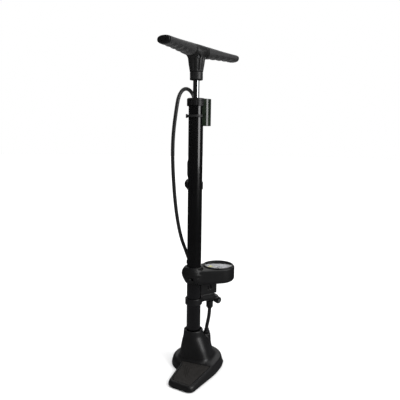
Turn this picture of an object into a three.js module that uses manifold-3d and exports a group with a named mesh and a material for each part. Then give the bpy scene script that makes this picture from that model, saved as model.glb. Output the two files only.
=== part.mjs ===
// Floor bike pump with a barrel-mounted pressure gauge, one foot pad and a hose docked behind the barrel.
// Millimetres, +Z up. The origin is on the floor, under the barrel's axis. The foot pad points along -Y.
import * as THREE from "three";
import { mergeVertices } from "three/addons/utils/BufferGeometryUtils.js";
import Module from "manifold-3d";

const wasm = await Module();
wasm.setup();

// ---------------------------------------------------------------- driving dimensions

const GAP = 0.3; // clearance between pieces that touch
const SEG = 32; // facets round a main cylinder
const SMALL_SEG = 16; // facets round a small one

const BARREL = { r: 16, wall: 1.2, bottom: 22, top: 600 };
const BORE_R = BARREL.r - BARREL.wall;

const BASE = { floorGap: 1.5, plateTop: 22, x: 7.5, y: 10, r: 60, rimHeight: 4.5, inset: 5 };
const PAD = { left: -18.5, tipLeftY: -111, tipRightY: -118, right: 45, slopeFrom: -28, tipDrop: 9.5 };
const TREAD = { corners: [[-6, -46], [35, -42], [19, -92]], ridge: 0.13, pitch: 0.28, margin: 9 };
const HUB = { x: 9, y: 5, halfX: 39, halfY: 36, topR: 23.2, top: 74, lipR: 21.6, lipTop: 87 };
const FOOT_PAD = { r: 15, height: 4 };

const ARM_ANGLE = 50; // bearing of the gauge arm and the outlet port, degrees from +X
const PORT = { x: 36, bossR: 9, top: 69, boreR: 6.6, boreBottom: 34 };
const FEED = { topX: 43, topZ: 129, bottomZ: 80.6, r: 4.2, boreR: 2 };

const GAUGE = { x: 65, r: 38, bottom: 194.5, top: 229, wall: 4.2, floor: 207 };
const NEEDLE = { rest: 150, tip: 25, tail: 9, hubR: 3.2 };
const COLLAR = { r: 20.4, bottom: 196, top: 236, boreR: BARREL.r + GAP };
const BRACKET = { r: 19.5, bottom: 147, top: 162, lobeX: 62.5, lobeR: 8.2, lobeZ: 146.5 };
const HOSE_BOSS = { x: 2.2, y: 25, r: 8, bottom: 203, top: 236 };

const HOSE_R = 4;
const HEAD_ANGLE = 128; // bearing of the docked pump head
const HEAD = { z: 419.5, r: 13, inner: 20.5, outer: 42, neckX: 30, neckR: 6.4, neckTop: 445 };
const LEVER = { pivotX: 38.5, hubR: 4.6, top: 476, inner: 37.6, outer: 42.4 };

const CAP = { r: 19.65, bottom: 592, top: 608, notches: 12 };
const ROD_R = 7;
const ROD = { bottom: 92, top: 712 };
const PISTON = { bottom: 78, top: 96, r: 14.3 };

const HANDLE_ANGLE = 72.4; // bearing of the handle's long axis
const HANDLE = { z: 706.5, half: 124.5, sweep: 8.7, coreHalf: 25, kink: 18 };
const NECK = { bottom: 646.5, r: 14, topR: 18.6 };
const HANDLE_SCREW = { x: 10.5, z: 692 };

const CARD = { bottom: 550, top: 607, thickness: 0.9 };
const TIE = { z: 570.5, height: 5, inner: 17.5, outer: 18.7 };

const COLOUR = {
  satinBlack: [0x1d1d1f, 0.55, 0],
  handleGrey: [0x36373a, 0.6, 0],
  gripBlack: [0x232426, 0.75, 0],
  glossBlack: [0x0d0d0f, 0.22, 0],
  rubber: [0x141415, 0.7, 0],
  tread: [0x35312e, 0.85, 0],
  chrome: [0xd8dadd, 0.08, 1],
  steel: [0x9a9da1, 0.35, 1],
  brass: [0xb8923f, 0.35, 1],
  dial: [0xb4b2b8, 0.5, 0],
  lens: [0xf2f6f8, 0.05, 0],
  needle: [0x26262a, 0.5, 0],
  white: [0xe6e6e2, 0.5, 0],
  card: [0x10140f, 0.25, 0],
};

// ---------------------------------------------------------------- solids

const radians = THREE.MathUtils.degToRad;

// Signed volume of a triangle mesh: negative where its faces point inwards.
function signedVolume(geometry) {
  const p = geometry.getAttribute("position");
  const index = geometry.index.array;
  const [a, b, c] = [new THREE.Vector3(), new THREE.Vector3(), new THREE.Vector3()];
  let sum = 0;
  for (let i = 0; i < index.length; i += 3) {
    a.fromBufferAttribute(p, index[i]);
    b.fromBufferAttribute(p, index[i + 1]);
    c.fromBufferAttribute(p, index[i + 2]);
    sum += a.dot(b.cross(c));
  }
  return sum / 6;
}

// A geometry with shared vertices only, facing out.
function closed(geometry) {
  const bare = geometry.clone();
  bare.deleteAttribute("normal");
  bare.deleteAttribute("uv");
  const merged = mergeVertices(bare, 1e-4);
  if (signedVolume(merged) < 0) merged.setIndex([...merged.index.array].reverse());
  return merged;
}

function solid(geometry) {
  const merged = closed(geometry);
  return new wasm.Manifold(
    new wasm.Mesh({
      numProp: 3,
      vertProperties: new Float32Array(merged.getAttribute("position").array),
      triVerts: new Uint32Array(merged.index.array),
    }),
  );
}

function geometryOf(manifold) {
  const mesh = manifold.getMesh();
  const geometry = new THREE.BufferGeometry();
  geometry.setAttribute("position", new THREE.BufferAttribute(new Float32Array(mesh.vertProperties), 3));
  geometry.setIndex([...mesh.triVerts]);
  return geometry;
}

function join(...geometries) {
  return geometryOf(geometries.map(solid).reduce((a, b) => a.add(b)));
}

function cut(geometry, ...tools) {
  return geometryOf(tools.map(solid).reduce((a, b) => a.subtract(b), solid(geometry)));
}

function common(a, b) {
  return geometryOf(solid(a).intersect(solid(b)));
}

// A solid of revolution about Z. Each profile point is [radius, z].
function lathe(profile, segments = SEG) {
  const points = profile.map(([r, z]) => new THREE.Vector2(r, z));
  return new THREE.LatheGeometry(points, segments).rotateX(Math.PI / 2);
}

function disc(r, bottom, top, segments = SEG) {
  return lathe([[0, bottom], [r, bottom], [r, top], [0, top]], segments);
}

function ring(inner, outer, bottom, top, segments = SEG) {
  return lathe([[inner, bottom], [outer, bottom], [outer, top], [inner, top], [inner, bottom]], segments);
}

function box(x0, x1, y0, y1, z0, z1) {
  const block = new THREE.BoxGeometry(x1 - x0, y1 - y0, z1 - z0);
  return block.translate((x0 + x1) / 2, (y0 + y1) / 2, (z0 + z1) / 2);
}

// A disc whose axis lies along X, from x0 to x1 at height z.
function discAlongX(r, x0, x1, z, segments = SMALL_SEG) {
  return disc(r, x0, x1, segments).rotateY(Math.PI / 2).translate(0, 0, z);
}

// A disc whose axis lies along Y, from y0 to y1 at (x, z).
function discAlongY(r, x, y0, y1, z, segments = SMALL_SEG) {
  return disc(r, -y1, -y0, segments).rotateX(Math.PI / 2).translate(x, 0, z);
}

// A closed skin over rings of points, each ring with the same number of points, the end rings capped.
function loft(rings) {
  const count = rings[0].length;
  const positions = rings.flat().flatMap((p) => [p.x, p.y, p.z]);
  const index = [];
  for (let r = 0; r + 1 < rings.length; r++) {
    for (let i = 0; i < count; i++) {
      const a = r * count + i;
      const b = r * count + ((i + 1) % count);
      index.push(a, b, b + count, a, b + count, a + count);
    }
  }
  const caps = [[rings[0], 0, true], [rings.at(-1), (rings.length - 1) * count, false]];
  for (const [points, offset, reversed] of caps) {
    const flat = flattened(points);
    for (const [a, b, c] of THREE.ShapeUtils.triangulateShape(flat, [])) {
      const face = reversed ? [c, b, a] : [a, b, c];
      index.push(...face.map((i) => i + offset));
    }
  }
  const geometry = new THREE.BufferGeometry();
  geometry.setAttribute("position", new THREE.Float32BufferAttribute(positions, 3));
  geometry.setIndex(index);
  return geometry;
}

// A planar ring of points in two dimensions, counter-clockwise about the ring's own normal.
function flattened(points) {
  const normal = new THREE.Vector3();
  points.forEach((p, i) => normal.add(p.clone().cross(points[(i + 1) % points.length])));
  normal.normalize();
  const helper = Math.abs(normal.z) > 0.9 ? new THREE.Vector3(1, 0, 0) : new THREE.Vector3(0, 0, 1);
  const u = helper.cross(normal).normalize();
  const v = normal.clone().cross(u);
  return points.map((p) => new THREE.Vector2(p.dot(u), p.dot(v)));
}

function tubeAlong(points, r, steps, sides) {
  const section = new THREE.Shape();
  for (let i = 0; i < sides; i++) {
    const a = (i / sides) * 2 * Math.PI;
    if (i === 0) section.moveTo(r * Math.cos(a), r * Math.sin(a));
    else section.lineTo(r * Math.cos(a), r * Math.sin(a));
  }
  const path = new THREE.CatmullRomCurve3(points, false, "centripetal");
  return new THREE.ExtrudeGeometry(section, { steps, bevelEnabled: false, extrudePath: path });
}

// An outline drawn inwards by a distance, point by point.
function inset(outline, distance) {
  return outline.map((p, i) => {
    const before = outline[(i + outline.length - 1) % outline.length];
    const after = outline[(i + 1) % outline.length];
    const along = after.clone().sub(before).normalize();
    return new THREE.Vector2(p.x - along.y * distance, p.y + along.x * distance);
  });
}

// ---------------------------------------------------------------- scene graph

const root = new THREE.Group();
const armGroup = new THREE.Group();
const headGroup = new THREE.Group();
const handleGroup = new THREE.Group();
armGroup.rotation.z = radians(ARM_ANGLE);
headGroup.rotation.z = radians(HEAD_ANGLE);
handleGroup.rotation.z = radians(HANDLE_ANGLE);
root.add(armGroup, headGroup, handleGroup);

function add(group, name, geometry, finish) {
  const [color, roughness, metalness] = COLOUR[finish];
  const material = new THREE.MeshStandardMaterial({ color, roughness, metalness });
  const mesh = new THREE.Mesh(closed(geometry), material);
  mesh.name = name;
  group.add(mesh);
}

// Places a geometry built on a group's axes into the root frame, for cuts across groups.
function turned(geometry, angle) {
  return geometry.clone().rotateZ(radians(angle));
}

// ---------------------------------------------------------------- base

// The base's outline seen from above: a round plate with one pad that narrows to its tip.
function baseOutline() {
  const meet = Math.atan2(-Math.sqrt(BASE.r ** 2 - (PAD.left - BASE.x) ** 2), PAD.left - BASE.x);
  const shape = new THREE.Shape();
  shape.moveTo(PAD.left, BASE.y + BASE.r * Math.sin(meet) - 3);
  shape.lineTo(PAD.left, PAD.tipLeftY + 17);
  shape.quadraticCurveTo(PAD.left + 0.5, PAD.tipLeftY + 1, PAD.left + 17, PAD.tipLeftY - 1.5);
  shape.lineTo(PAD.right - 14, PAD.tipRightY);
  shape.quadraticCurveTo(PAD.right - 1, PAD.tipRightY, PAD.right + 1.5, PAD.tipRightY + 16);
  shape.lineTo(PAD.right + 16, -44);
  shape.quadraticCurveTo(BASE.x + BASE.r, -20, BASE.x + BASE.r, BASE.y);
  shape.absarc(BASE.x, BASE.y, BASE.r, 0, meet + 2 * Math.PI - 0.05, false);
  const points = shape.getPoints(10);
  return points.filter((p, i) => i === 0 || p.distanceTo(points[i - 1]) > 0.5);
}

function level(outline, z) {
  return outline.map((p) => new THREE.Vector3(p.x, p.y, z));
}

// A ring on the plane that falls towards the toe, at height z on the line where the fall begins.
function falling(outline, z) {
  const fall = PAD.tipDrop / (PAD.slopeFrom - PAD.tipRightY);
  return outline.map((p) => new THREE.Vector3(p.x, p.y, z - fall * (PAD.slopeFrom - p.y)));
}

// A squarish ring of points: exponent 2 is an ellipse, and more is squarer.
function squircle(x, y, halfX, halfY, exponent, count = 36) {
  return Array.from({ length: count }, (_, i) => {
    const a = (i / count) * 2 * Math.PI;
    const [c, s] = [Math.cos(a), Math.sin(a)];
    const px = Math.sign(c) * Math.abs(c) ** (2 / exponent) * halfX;
    const py = Math.sign(s) * Math.abs(s) ** (2 / exponent) * halfY;
    return new THREE.Vector2(x + px, y + py);
  });
}

const outline = baseOutline();

const PORT_XY = new THREE.Vector2(PORT.x, 0).rotateAround(new THREE.Vector2(), radians(ARM_ANGLE));

const FEET = [
  ["foot_pad_hub", 0, 0],
  ["foot_pad_toe", 11, -98],
  ["foot_pad_left", -30, 38],
  ["foot_pad_right", 50, 28],
];

const TREAD_END = HUB.y - HUB.halfY - 2.7;

// The tread's outline: the pad's, drawn in, and stopped short of the hub.
function treadSlab(distance, bottom, top) {
  const edge = inset(outline, distance);
  const slab = loft([falling(edge, bottom), falling(edge, top)]);
  return common(slab, box(-60, 90, -130, TREAD_END - (distance - TREAD.margin), -10, 60));
}

// An upright prism on the tread's triangle, shrunk about the centre of its inscribed circle.
function triangle(size, bottom, top) {
  const corners = TREAD.corners.map(([x, y]) => new THREE.Vector2(x, y));
  const sides = corners.map((_, i) => corners[(i + 1) % 3].distanceTo(corners[(i + 2) % 3]));
  const around = sides[0] + sides[1] + sides[2];
  const centre = new THREE.Vector2();
  corners.forEach((p, i) => centre.addScaledVector(p, sides[i] / around));
  const shape = new THREE.Shape(corners.map((p) => p.clone().sub(centre).multiplyScalar(size).add(centre)));
  const prism = new THREE.ExtrudeGeometry(shape, { depth: top - bottom, bevelEnabled: false });
  return prism.translate(0, 0, bottom);
}

function base() {
  const plateWith = (upper) => loft([
    level(outline, BASE.floorGap),
    level(inset(outline, 0.4), BASE.rimHeight),
    upper(inset(outline, BASE.inset - 1.5), BASE.plateTop - 3.5),
    upper(inset(outline, BASE.inset), BASE.plateTop - 1.2),
    upper(inset(outline, BASE.inset + 3), BASE.plateTop),
  ]);
  const rear = common(plateWith(level), box(-80, 100, PAD.slopeFrom, 100, 0, 60));
  const front = common(plateWith(falling), box(-80, 100, -140, PAD.slopeFrom, 0, 60));
  const hub = loft([
    level(squircle(HUB.x, HUB.y, HUB.halfX + 1.5, HUB.halfY + 1.5, 2.6), BASE.floorGap + 6),
    level(squircle(HUB.x, HUB.y, HUB.halfX, HUB.halfY, 2.6), BASE.plateTop),
    level(squircle(HUB.x * 0.62, HUB.y * 0.62, 33, 31.5, 2.4), 45),
    level(squircle(0.8, 0.4, HUB.topR, HUB.topR, 2), HUB.top),
    level(squircle(0.8, 0.4, HUB.topR, HUB.topR, 2), HUB.top + 5),
    level(squircle(0, 0, HUB.lipR, HUB.lipR, 2), HUB.lipTop - 3),
    level(squircle(0, 0, HUB.lipR - 1.5, HUB.lipR - 1.5, 2), HUB.lipTop),
  ]);
  const bossProfile = [[0, 3], [14, 3], [PORT.bossR, PORT.top], [0, PORT.top]];
  const boss = lathe(bossProfile, 24).translate(PORT_XY.x, PORT_XY.y, 0);
  const barrelBore = disc(BARREL.r + GAP, BARREL.bottom - GAP, 120);
  const lipRecess = disc(BARREL.r + 2.6, HUB.lipTop - 5, 120);
  const portBore = disc(PORT.boreR, PORT.boreBottom, 120, SMALL_SEG).translate(PORT_XY.x, PORT_XY.y, 0);
  const channel = turned(discAlongX(2.5, 10, PORT.x + 1, PORT.boreBottom + 1, 10), ARM_ANGLE);
  const boltWay = join(disc(4.3, 10, 40, SMALL_SEG), disc(8, -1, 14, SMALL_SEG));
  const footWay = disc(FOOT_PAD.r + GAP, -5, FOOT_PAD.height + GAP, 24);
  const feet = FEET.map(([, x, y]) => footWay.clone().translate(x, y, 0));
  const tread = treadSlab(TREAD.margin, BASE.plateTop - 3.2, 40);
  const solid = join(rear, front, hub, boss);
  const body = cut(solid, barrelBore, lipRecess, portBore, channel, boltWay, ...feet, tread);
  add(root, "base_body", body, "satinBlack");

  // Tread insert with ridges in the form of nested triangles that point at the toe.
  const slab = treadSlab(TREAD.margin + 0.8, BASE.plateTop - 2.8, BASE.plateTop + 0.2);
  const ridgeZone = treadSlab(TREAD.margin + 1.6, BASE.plateTop - 2, BASE.plateTop + 1.4);
  const ridges = [];
  for (let size = 1; size > TREAD.ridge; size -= TREAD.pitch) {
    ridges.push(common(cut(triangle(size, 0, 40), triangle(size - TREAD.ridge, -1, 41)), ridgeZone));
  }
  add(root, "foot_tread", join(slab, ...ridges), "tread");

  for (const [name, x, y] of FEET) {
    const pad = [
      [0, 0], [FOOT_PAD.r - 1, 0], [FOOT_PAD.r, 1], [FOOT_PAD.r, FOOT_PAD.height], [0, FOOT_PAD.height],
    ];
    add(root, name, lathe(pad, 24).translate(x, y, 0), "rubber");
  }
}

// ---------------------------------------------------------------- barrel and its closures

function barrel() {
  const outlet = turned(discAlongX(2.5, 8, 22, PORT.boreBottom + 1, 10), ARM_ANGLE);
  add(root, "barrel_tube", cut(ring(BORE_R, BARREL.r, BARREL.bottom, BARREL.top), outlet), "glossBlack");

  const plug = [
    [0, BARREL.bottom], [14.5, BARREL.bottom], [14.5, 24], [12.7, 24],
    [12.7, 27], [14.5, 27], [14.5, 29.5], [0, 29.5],
  ];
  add(root, "barrel_plug", cut(lathe(plug), disc(3.2, 20, 28, SMALL_SEG)), "steel");
  add(root, "plug_seal", ring(12.9, 14.6, 24.3, 26.7), "rubber");
  const bolt = join(disc(6.5, 9.6, 14, 6), disc(2.9, 13, 27.5, SMALL_SEG));
  add(root, "barrel_bolt", bolt, "steel");

  const skirt = lathe([
    [8.9, 600.4], [8.9, CAP.top], [17.6, CAP.top], [CAP.r, CAP.top - 2], [CAP.r, CAP.bottom + 1.5],
    [CAP.r - 1, CAP.bottom], [BARREL.r + GAP, CAP.bottom], [BARREL.r + GAP, 600.4], [8.9, 600.4],
  ]);
  const notches = Array.from({ length: CAP.notches }, (_, i) =>
    turned(box(CAP.r - 1.3, CAP.r + 4, -1.7, 1.7, CAP.bottom - 1, CAP.top - 4), (i * 360) / CAP.notches + 15),
  );
  add(root, "barrel_cap", cut(skirt, ...notches), "satinBlack");
  add(root, "rod_bush", ring(ROD_R + GAP, 14.4, 574, BARREL.top - 0.2), "white");
  add(root, "rod_wiper", ring(ROD_R + GAP, 8.6, 600.4, CAP.top - 0.4), "rubber");
}

// ---------------------------------------------------------------- outlet valve and feed hose

function outlet() {
  const at = (g) => g.translate(PORT.x, 0, 0);
  const poppet = lathe([[0, 40.5], [3.4, 40.5], [3.4, 43.4], [1.5, 43.4], [1.5, 48], [0, 48]], 14);
  add(armGroup, "valve_poppet", at(poppet), "rubber");
  add(armGroup, "valve_seat", at(ring(2.2, 6.3, 37.4, 40.2, SMALL_SEG)), "brass");

  const turns = 4;
  const coil = Array.from({ length: turns * 10 + 1 }, (_, i) => {
    const a = (i / 10) * 2 * Math.PI;
    return new THREE.Vector3(PORT.x + 2.9 * Math.cos(a), 2.9 * Math.sin(a), 44.3 + (i / 10) * 4);
  });
  add(armGroup, "valve_spring", tubeAlong(coil, 0.45, 48, 5), "steel");

  const fittingTop = FEED.bottomZ - 0.4;
  const fitting = lathe([
    [FEED.boreR, 61], [6.2, 61], [6.2, PORT.top + GAP], [7.4, PORT.top + GAP], [7.4, PORT.top + 4.5],
    [5.6, PORT.top + 6], [5.6, fittingTop], [FEED.boreR, fittingTop], [FEED.boreR, 61],
  ], SMALL_SEG);
  add(armGroup, "outlet_fitting", at(fitting), "satinBlack");

  const feed = [
    [PORT.x, FEED.bottomZ], [PORT.x + 0.1, 84], [37.8, 92], [40.2, 102], [41.9, 112], [42.8, 121],
    [FEED.topX, FEED.topZ - 0.6],
  ].map(([x, z]) => new THREE.Vector3(x, 0, z));
  add(armGroup, "feed_hose", tubeAlong(feed, FEED.r, 10, 12), "rubber");
  const nutTop = BRACKET.bottom - 0.4;
  const nut = lathe([
    [FEED.boreR, FEED.topZ], [5.6, FEED.topZ], [8, FEED.topZ + 3.5], [8.3, nutTop], [FEED.boreR, nutTop],
    [FEED.boreR, FEED.topZ],
  ], 12);
  add(armGroup, "feed_ferrule", nut.translate(FEED.topX, 0, 0), "satinBlack");
}

// ---------------------------------------------------------------- gauge and its bracket

// The outline round the collar and the gauge, seen from above: two circles and their common tangents.
function teardrop(smallR, bigR) {
  const lean = Math.acos((smallR - bigR) / GAUGE.x);
  const arc = (cx, r, from, to, count) =>
    Array.from({ length: count + 1 }, (_, i) => {
      const a = from + ((to - from) * i) / count;
      return new THREE.Vector2(cx + r * Math.cos(a), r * Math.sin(a));
    });
  return [...arc(GAUGE.x, bigR, -lean, lean, 26), ...arc(0, smallR, lean, 2 * Math.PI - lean, 14)];
}

function gauge() {
  const shell = loft([
    level(teardrop(COLLAR.r - 4, GAUGE.r - 8), GAUGE.bottom),
    level(teardrop(COLLAR.r - 1.5, GAUGE.r - 3), GAUGE.bottom + 3),
    level(teardrop(COLLAR.r, GAUGE.r), GAUGE.bottom + 9),
    level(teardrop(COLLAR.r, GAUGE.r), GAUGE.top - 4),
    level(teardrop(COLLAR.r - 1, GAUGE.r - 1.5), GAUGE.top - 1),
    level(teardrop(COLLAR.r - 2.5, GAUGE.r - 3), GAUGE.top),
  ]);
  const collar = disc(COLLAR.r, COLLAR.bottom, COLLAR.top);
  const boss = disc(HOSE_BOSS.r, HOSE_BOSS.bottom, HOSE_BOSS.top, 20).translate(HOSE_BOSS.x, HOSE_BOSS.y, 0);
  const block = box(12, 56, -10, 10, 167, 200);
  const cup = disc(GAUGE.r - GAUGE.wall, GAUGE.floor, 260).translate(GAUGE.x, 0, 0);
  const socketWay = disc(6.3, 168, 240, SMALL_SEG).translate(GAUGE.x - 22, 0, 0);
  const barrelWay = disc(COLLAR.boreR, 100, 300);
  const rear = box(-80, -0.5, -60, 60, 100, 300);
  const screwWays = [-1, 1].map((side) => discAlongX(1.9, -2, 14, 212).translate(0, side * 18.4, 0));
  const slots = [32, 39].map((x) => box(x - 1.8, x + 1.8, -11, -7.5, 178, 187));
  const bossWay = disc(3, 215, 250, 12).translate(HOSE_BOSS.x, HOSE_BOSS.y, 0);
  const ears = [12, -22.5].map((y) => box(-0.5, 12, y, y + 10.5, 204, 220));
  const housing = cut(
    join(shell, collar, boss, block, ...ears),
    cup, socketWay, barrelWay, rear, bossWay, ...screwWays, ...slots,
  );
  add(armGroup, "gauge_housing", housing, "satinBlack");

  // Rear half of the collar: a rounded shell held by two screws.
  const bulge = lathe([
    [COLLAR.boreR, 198], [18.6, 198], [23.5, 206], [27.6, 215], [28.6, 221], [26.6, 228], [21.5, 235],
    [COLLAR.boreR, COLLAR.top], [COLLAR.boreR, 198],
  ]);
  const half = common(bulge, box(-60, -0.8, -60, 60, 150, 300));
  const wells = [-1, 1].flatMap((side) => [
    discAlongX(3.9, -40, -9, 212).translate(0, side * 18.4, 0),
    discAlongX(2.1, -40, 5, 212).translate(0, side * 18.4, 0),
  ]);
  add(armGroup, "gauge_clamp", cut(half, ...wells), "satinBlack");
  for (const [i, side] of [-1, 1].entries()) {
    const screw = join(discAlongX(3.4, -13, -9.4, 212), discAlongX(1.6, -10, 12, 212));
    add(armGroup, `clamp_screw_${i + 1}`, screw.translate(0, side * 18.4, 0), "steel");
  }

  // Lower bracket: ring round the barrel, a plate under the gauge block and a round cross boss.
  const plate = box(10, BRACKET.lobeX, -7.5, 7.5, 150, 159.5);
  const lobe = discAlongY(BRACKET.lobeR, BRACKET.lobeX, -8.5, 8.5, BRACKET.lobeZ, 20);
  const post = box(12, 52, -8.5, 8.5, 155, 166.6);
  const bracket = cut(
    join(disc(BRACKET.r, BRACKET.bottom, BRACKET.top), plate, lobe, post),
    disc(COLLAR.boreR, 100, 200),
    disc(3, 145, 164, 12).translate(FEED.topX, 0, 0),
    disc(8.8, 100, BRACKET.bottom - 0.1, 16).translate(FEED.topX, 0, 0),
    discAlongY(2.4, BRACKET.lobeX, -20, 20, BRACKET.lobeZ, 12),
  );
  add(armGroup, "hose_bracket", bracket, "satinBlack");
  const bolt = join(
    discAlongY(4.2, BRACKET.lobeX, -12, -8.8, BRACKET.lobeZ, 12),
    discAlongY(2, BRACKET.lobeX, -10, 10.5, BRACKET.lobeZ, 12),
  );
  add(armGroup, "bracket_bolt", bolt, "steel");

  // Gauge movement: a brass socket, a curved Bourdon tube, dial, pointer and lens.
  const at = (g) => g.translate(GAUGE.x, 0, 0);
  const socket = join(disc(5.8, 170, 208, SMALL_SEG), box(-5, 5, -5, 5, 207.4, 217));
  add(armGroup, "gauge_socket", socket.translate(GAUGE.x - 22, 0, 0), "brass");
  const sweep = Array.from({ length: 13 }, (_, i) => {
    const a = radians(200 + i * 21);
    return new THREE.Vector3(GAUGE.x + 21 * Math.cos(a), 21 * Math.sin(a), 214);
  });
  add(armGroup, "bourdon_tube", tubeAlong(sweep, 2, 20, 8), "brass");
  add(armGroup, "dial_plate", at(cut(disc(31.5, 221, 222.2), disc(1.8, 200, 240, 12))), "dial");
  const blade = box(-NEEDLE.tail, NEEDLE.tip, -1, 1, 223.4, 224.4);
  const pointer = join(disc(NEEDLE.hubR, 223, 225, SMALL_SEG), disc(1.4, 216, 224, 12), blade);
  add(armGroup, "gauge_needle", at(pointer.rotateZ(radians(NEEDLE.rest))), "needle");
  const lens = lathe([[0, 229.6], [20, 228.6], [32, 226.8], [32, 229], [20, 231], [0, 231.8]]);
  add(armGroup, "gauge_lens", at(lens), "lens");
  const bezel = lathe([
    [32.3, 224], [33.5, 224], [33.5, 229.6], [36.2, 229.6], [35.4, 232.4], [32.2, 233.2], [30.6, 232.2],
    [30.9, 230.2], [32.3, 229.4], [32.3, 224],
  ]);
  add(armGroup, "gauge_bezel", at(bezel), "satinBlack");
}

// ---------------------------------------------------------------- main hose

const HOSE_ROUTE = [
  [-18.5, 23.6, 458.5], [-18.1, 25, 484.5], [-17.3, 27.4, 510.3], [-16.3, 30.8, 535.9],
  [-15.5, 34.3, 560.8], [-15.1, 36.6, 585.7], [-15.3, 35.7, 598.1], [-16.1, 31.6, 610.1],
  [-17.5, 23.7, 620], [-19.5, 12.7, 626.5], [-21.7, 0.2, 628.6], [-24, -12.3, 626.1],
  [-25.9, -23, 619.1], [-27.4, -30.6, 609], [-28.6, -34.8, 597.2], [-29.9, -36.6, 584.8],
  [-31.4, -37.6, 572.4], [-34.4, -38.5, 547.6], [-36.9, -37.8, 522.3], [-38.6, -35.8, 496.4],
  [-39.5, -32.9, 470.6], [-39.8, -29.5, 444.8], [-39.7, -25.7, 419.1], [-39.3, -21.4, 393.5],
  [-38.4, -16.6, 367.9], [-36.9, -11.2, 342.6], [-34.7, -4.8, 317.5], [-31.4, 2.9, 292.9],
  [-26, 11.2, 268.9], [-20.3, 16.6, 248],
].map(([x, y, z]) => new THREE.Vector3(x, y, z));

function hose() {
  add(root, "main_hose", tubeAlong(HOSE_ROUTE, HOSE_R, 56, 10), "rubber");
  // Ferrule between the hose's lower end and the boss behind the collar.
  const foot = new THREE.Vector2(HOSE_BOSS.x, HOSE_BOSS.y);
  foot.rotateAround(new THREE.Vector2(), radians(ARM_ANGLE));
  const end = HOSE_ROUTE.at(-1);
  const round = (x, y, z, r) =>
    Array.from({ length: 16 }, (_, i) => {
      const a = (i / 16) * 2 * Math.PI;
      return new THREE.Vector3(x + r * Math.cos(a), y + r * Math.sin(a), z);
    });
  const ferrule = loft([
    round(foot.x, foot.y, HOSE_BOSS.top + GAP, 7.4),
    round(foot.x - 0.3, foot.y - 0.2, HOSE_BOSS.top + 3.5, 7.4),
    round(end.x + 0.7, end.y + 0.5, end.z - 3.2, 5.4),
  ]);
  add(root, "hose_ferrule_gauge", ferrule, "satinBlack");
}

// ---------------------------------------------------------------- pump head and its dock

function head() {
  const body = join(
    discAlongX(HEAD.r, HEAD.inner + 3, HEAD.outer, HEAD.z, 28),
    disc(HEAD.neckR, HEAD.z, HEAD.neckTop, 20).translate(HEAD.neckX, 0, 0),
  );
  const mouth = discAlongX(7.6, HEAD.inner, 28, HEAD.z, 20);
  const slot = box(31.6, 60, -5.2, 5.2, HEAD.z - 20, HEAD.z + 20);
  const pinWay = discAlongY(1.9, LEVER.pivotX, -20, 20, HEAD.z, 12);
  const airWay = disc(2, HEAD.z + 5, 470, 12).translate(HEAD.neckX - 4, 0, 0);
  add(headGroup, "head_body", cut(body, mouth, slot, pinWay, airWay), "satinBlack");
  const facing = (g) => g.rotateY(Math.PI / 2).translate(0, 0, HEAD.z);
  add(headGroup, "head_cap", facing(ring(5.2, 11.6, 20.6, 23.2, 28)), "satinBlack");
  add(headGroup, "valve_seal", facing(ring(4, 7.3, 23.5, 27.7, 20)), "rubber");
  const ferrule = lathe([[0, 445.3], [6.4, 445.3], [6.4, 450], [5.2, 458.2], [0, 458.2]], 20);
  add(headGroup, "head_ferrule", ferrule.translate(HEAD.neckX, 0, 0), "satinBlack");

  const arm = box(LEVER.inner, LEVER.outer, -4.6, 4.6, HEAD.z, 437);
  const paddle = loft([
    level(squircle(40, 0, 2.4, 4.6, 3.5, 24), 434.5),
    level(squircle(40, 0, 2.4, 6.6, 3.5, 24), 440),
    level(squircle(40.4, 0, 2.4, 6.8, 3.5, 24), 468),
    level(squircle(41.4, 0, 2, 5.4, 3, 24), 474.5),
    level(squircle(41.8, 0, 1.2, 4, 2.5, 24), LEVER.top),
  ]);
  const hub = discAlongY(LEVER.hubR, LEVER.pivotX, -4.6, 4.6, HEAD.z, 20);
  const leverWay = discAlongY(1.9, LEVER.pivotX, -9, 9, HEAD.z, 12);
  add(headGroup, "head_lever", cut(join(arm, paddle, hub), leverWay), "satinBlack");
  add(headGroup, "lever_pin", discAlongY(1.6, LEVER.pivotX, -9.5, 9.5, HEAD.z, 12), "steel");

  // Spring clip on the barrel with a peg that the docked head is pushed on to.
  const band = ring(BARREL.r + GAP, BARREL.r + 2.1, 411, 428);
  const front = box(-80, -2.5, -60, 60, 380, 460);
  const peg = join(discAlongX(3.6, 17, 27.4, HEAD.z, 16), discAlongX(6, 17, 20.2, HEAD.z, 16));
  add(headGroup, "head_dock", join(cut(band, front), cut(peg, disc(BARREL.r + 1, 380, 460))), "satinBlack");
}

// ---------------------------------------------------------------- handle, rod and piston

// A rounded section of the handle, at a distance along its swept centre line.
function handleSection(along, width, thickness, side) {
  const lean = radians(HANDLE.sweep);
  const reach = Math.max(0, along - HANDLE.kink);
  const x = side * (Math.min(along, HANDLE.kink) + reach * Math.cos(lean));
  const y = -reach * Math.sin(lean);
  const count = 24;
  return Array.from({ length: count }, (_, i) => {
    const a = ((side > 0 ? i : count - i) / count) * 2 * Math.PI;
    const [c, s] = [Math.cos(a), Math.sin(a)];
    const across = (Math.sign(c) * Math.abs(c) ** 0.8 * width) / 2;
    const up = (Math.sign(s) * Math.abs(s) ** 0.8 * thickness) / 2;
    const tilt = reach > 0 ? side * lean : 0;
    return new THREE.Vector3(x + across * Math.sin(tilt), y + across * Math.cos(tilt), HANDLE.z + up);
  });
}

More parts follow.
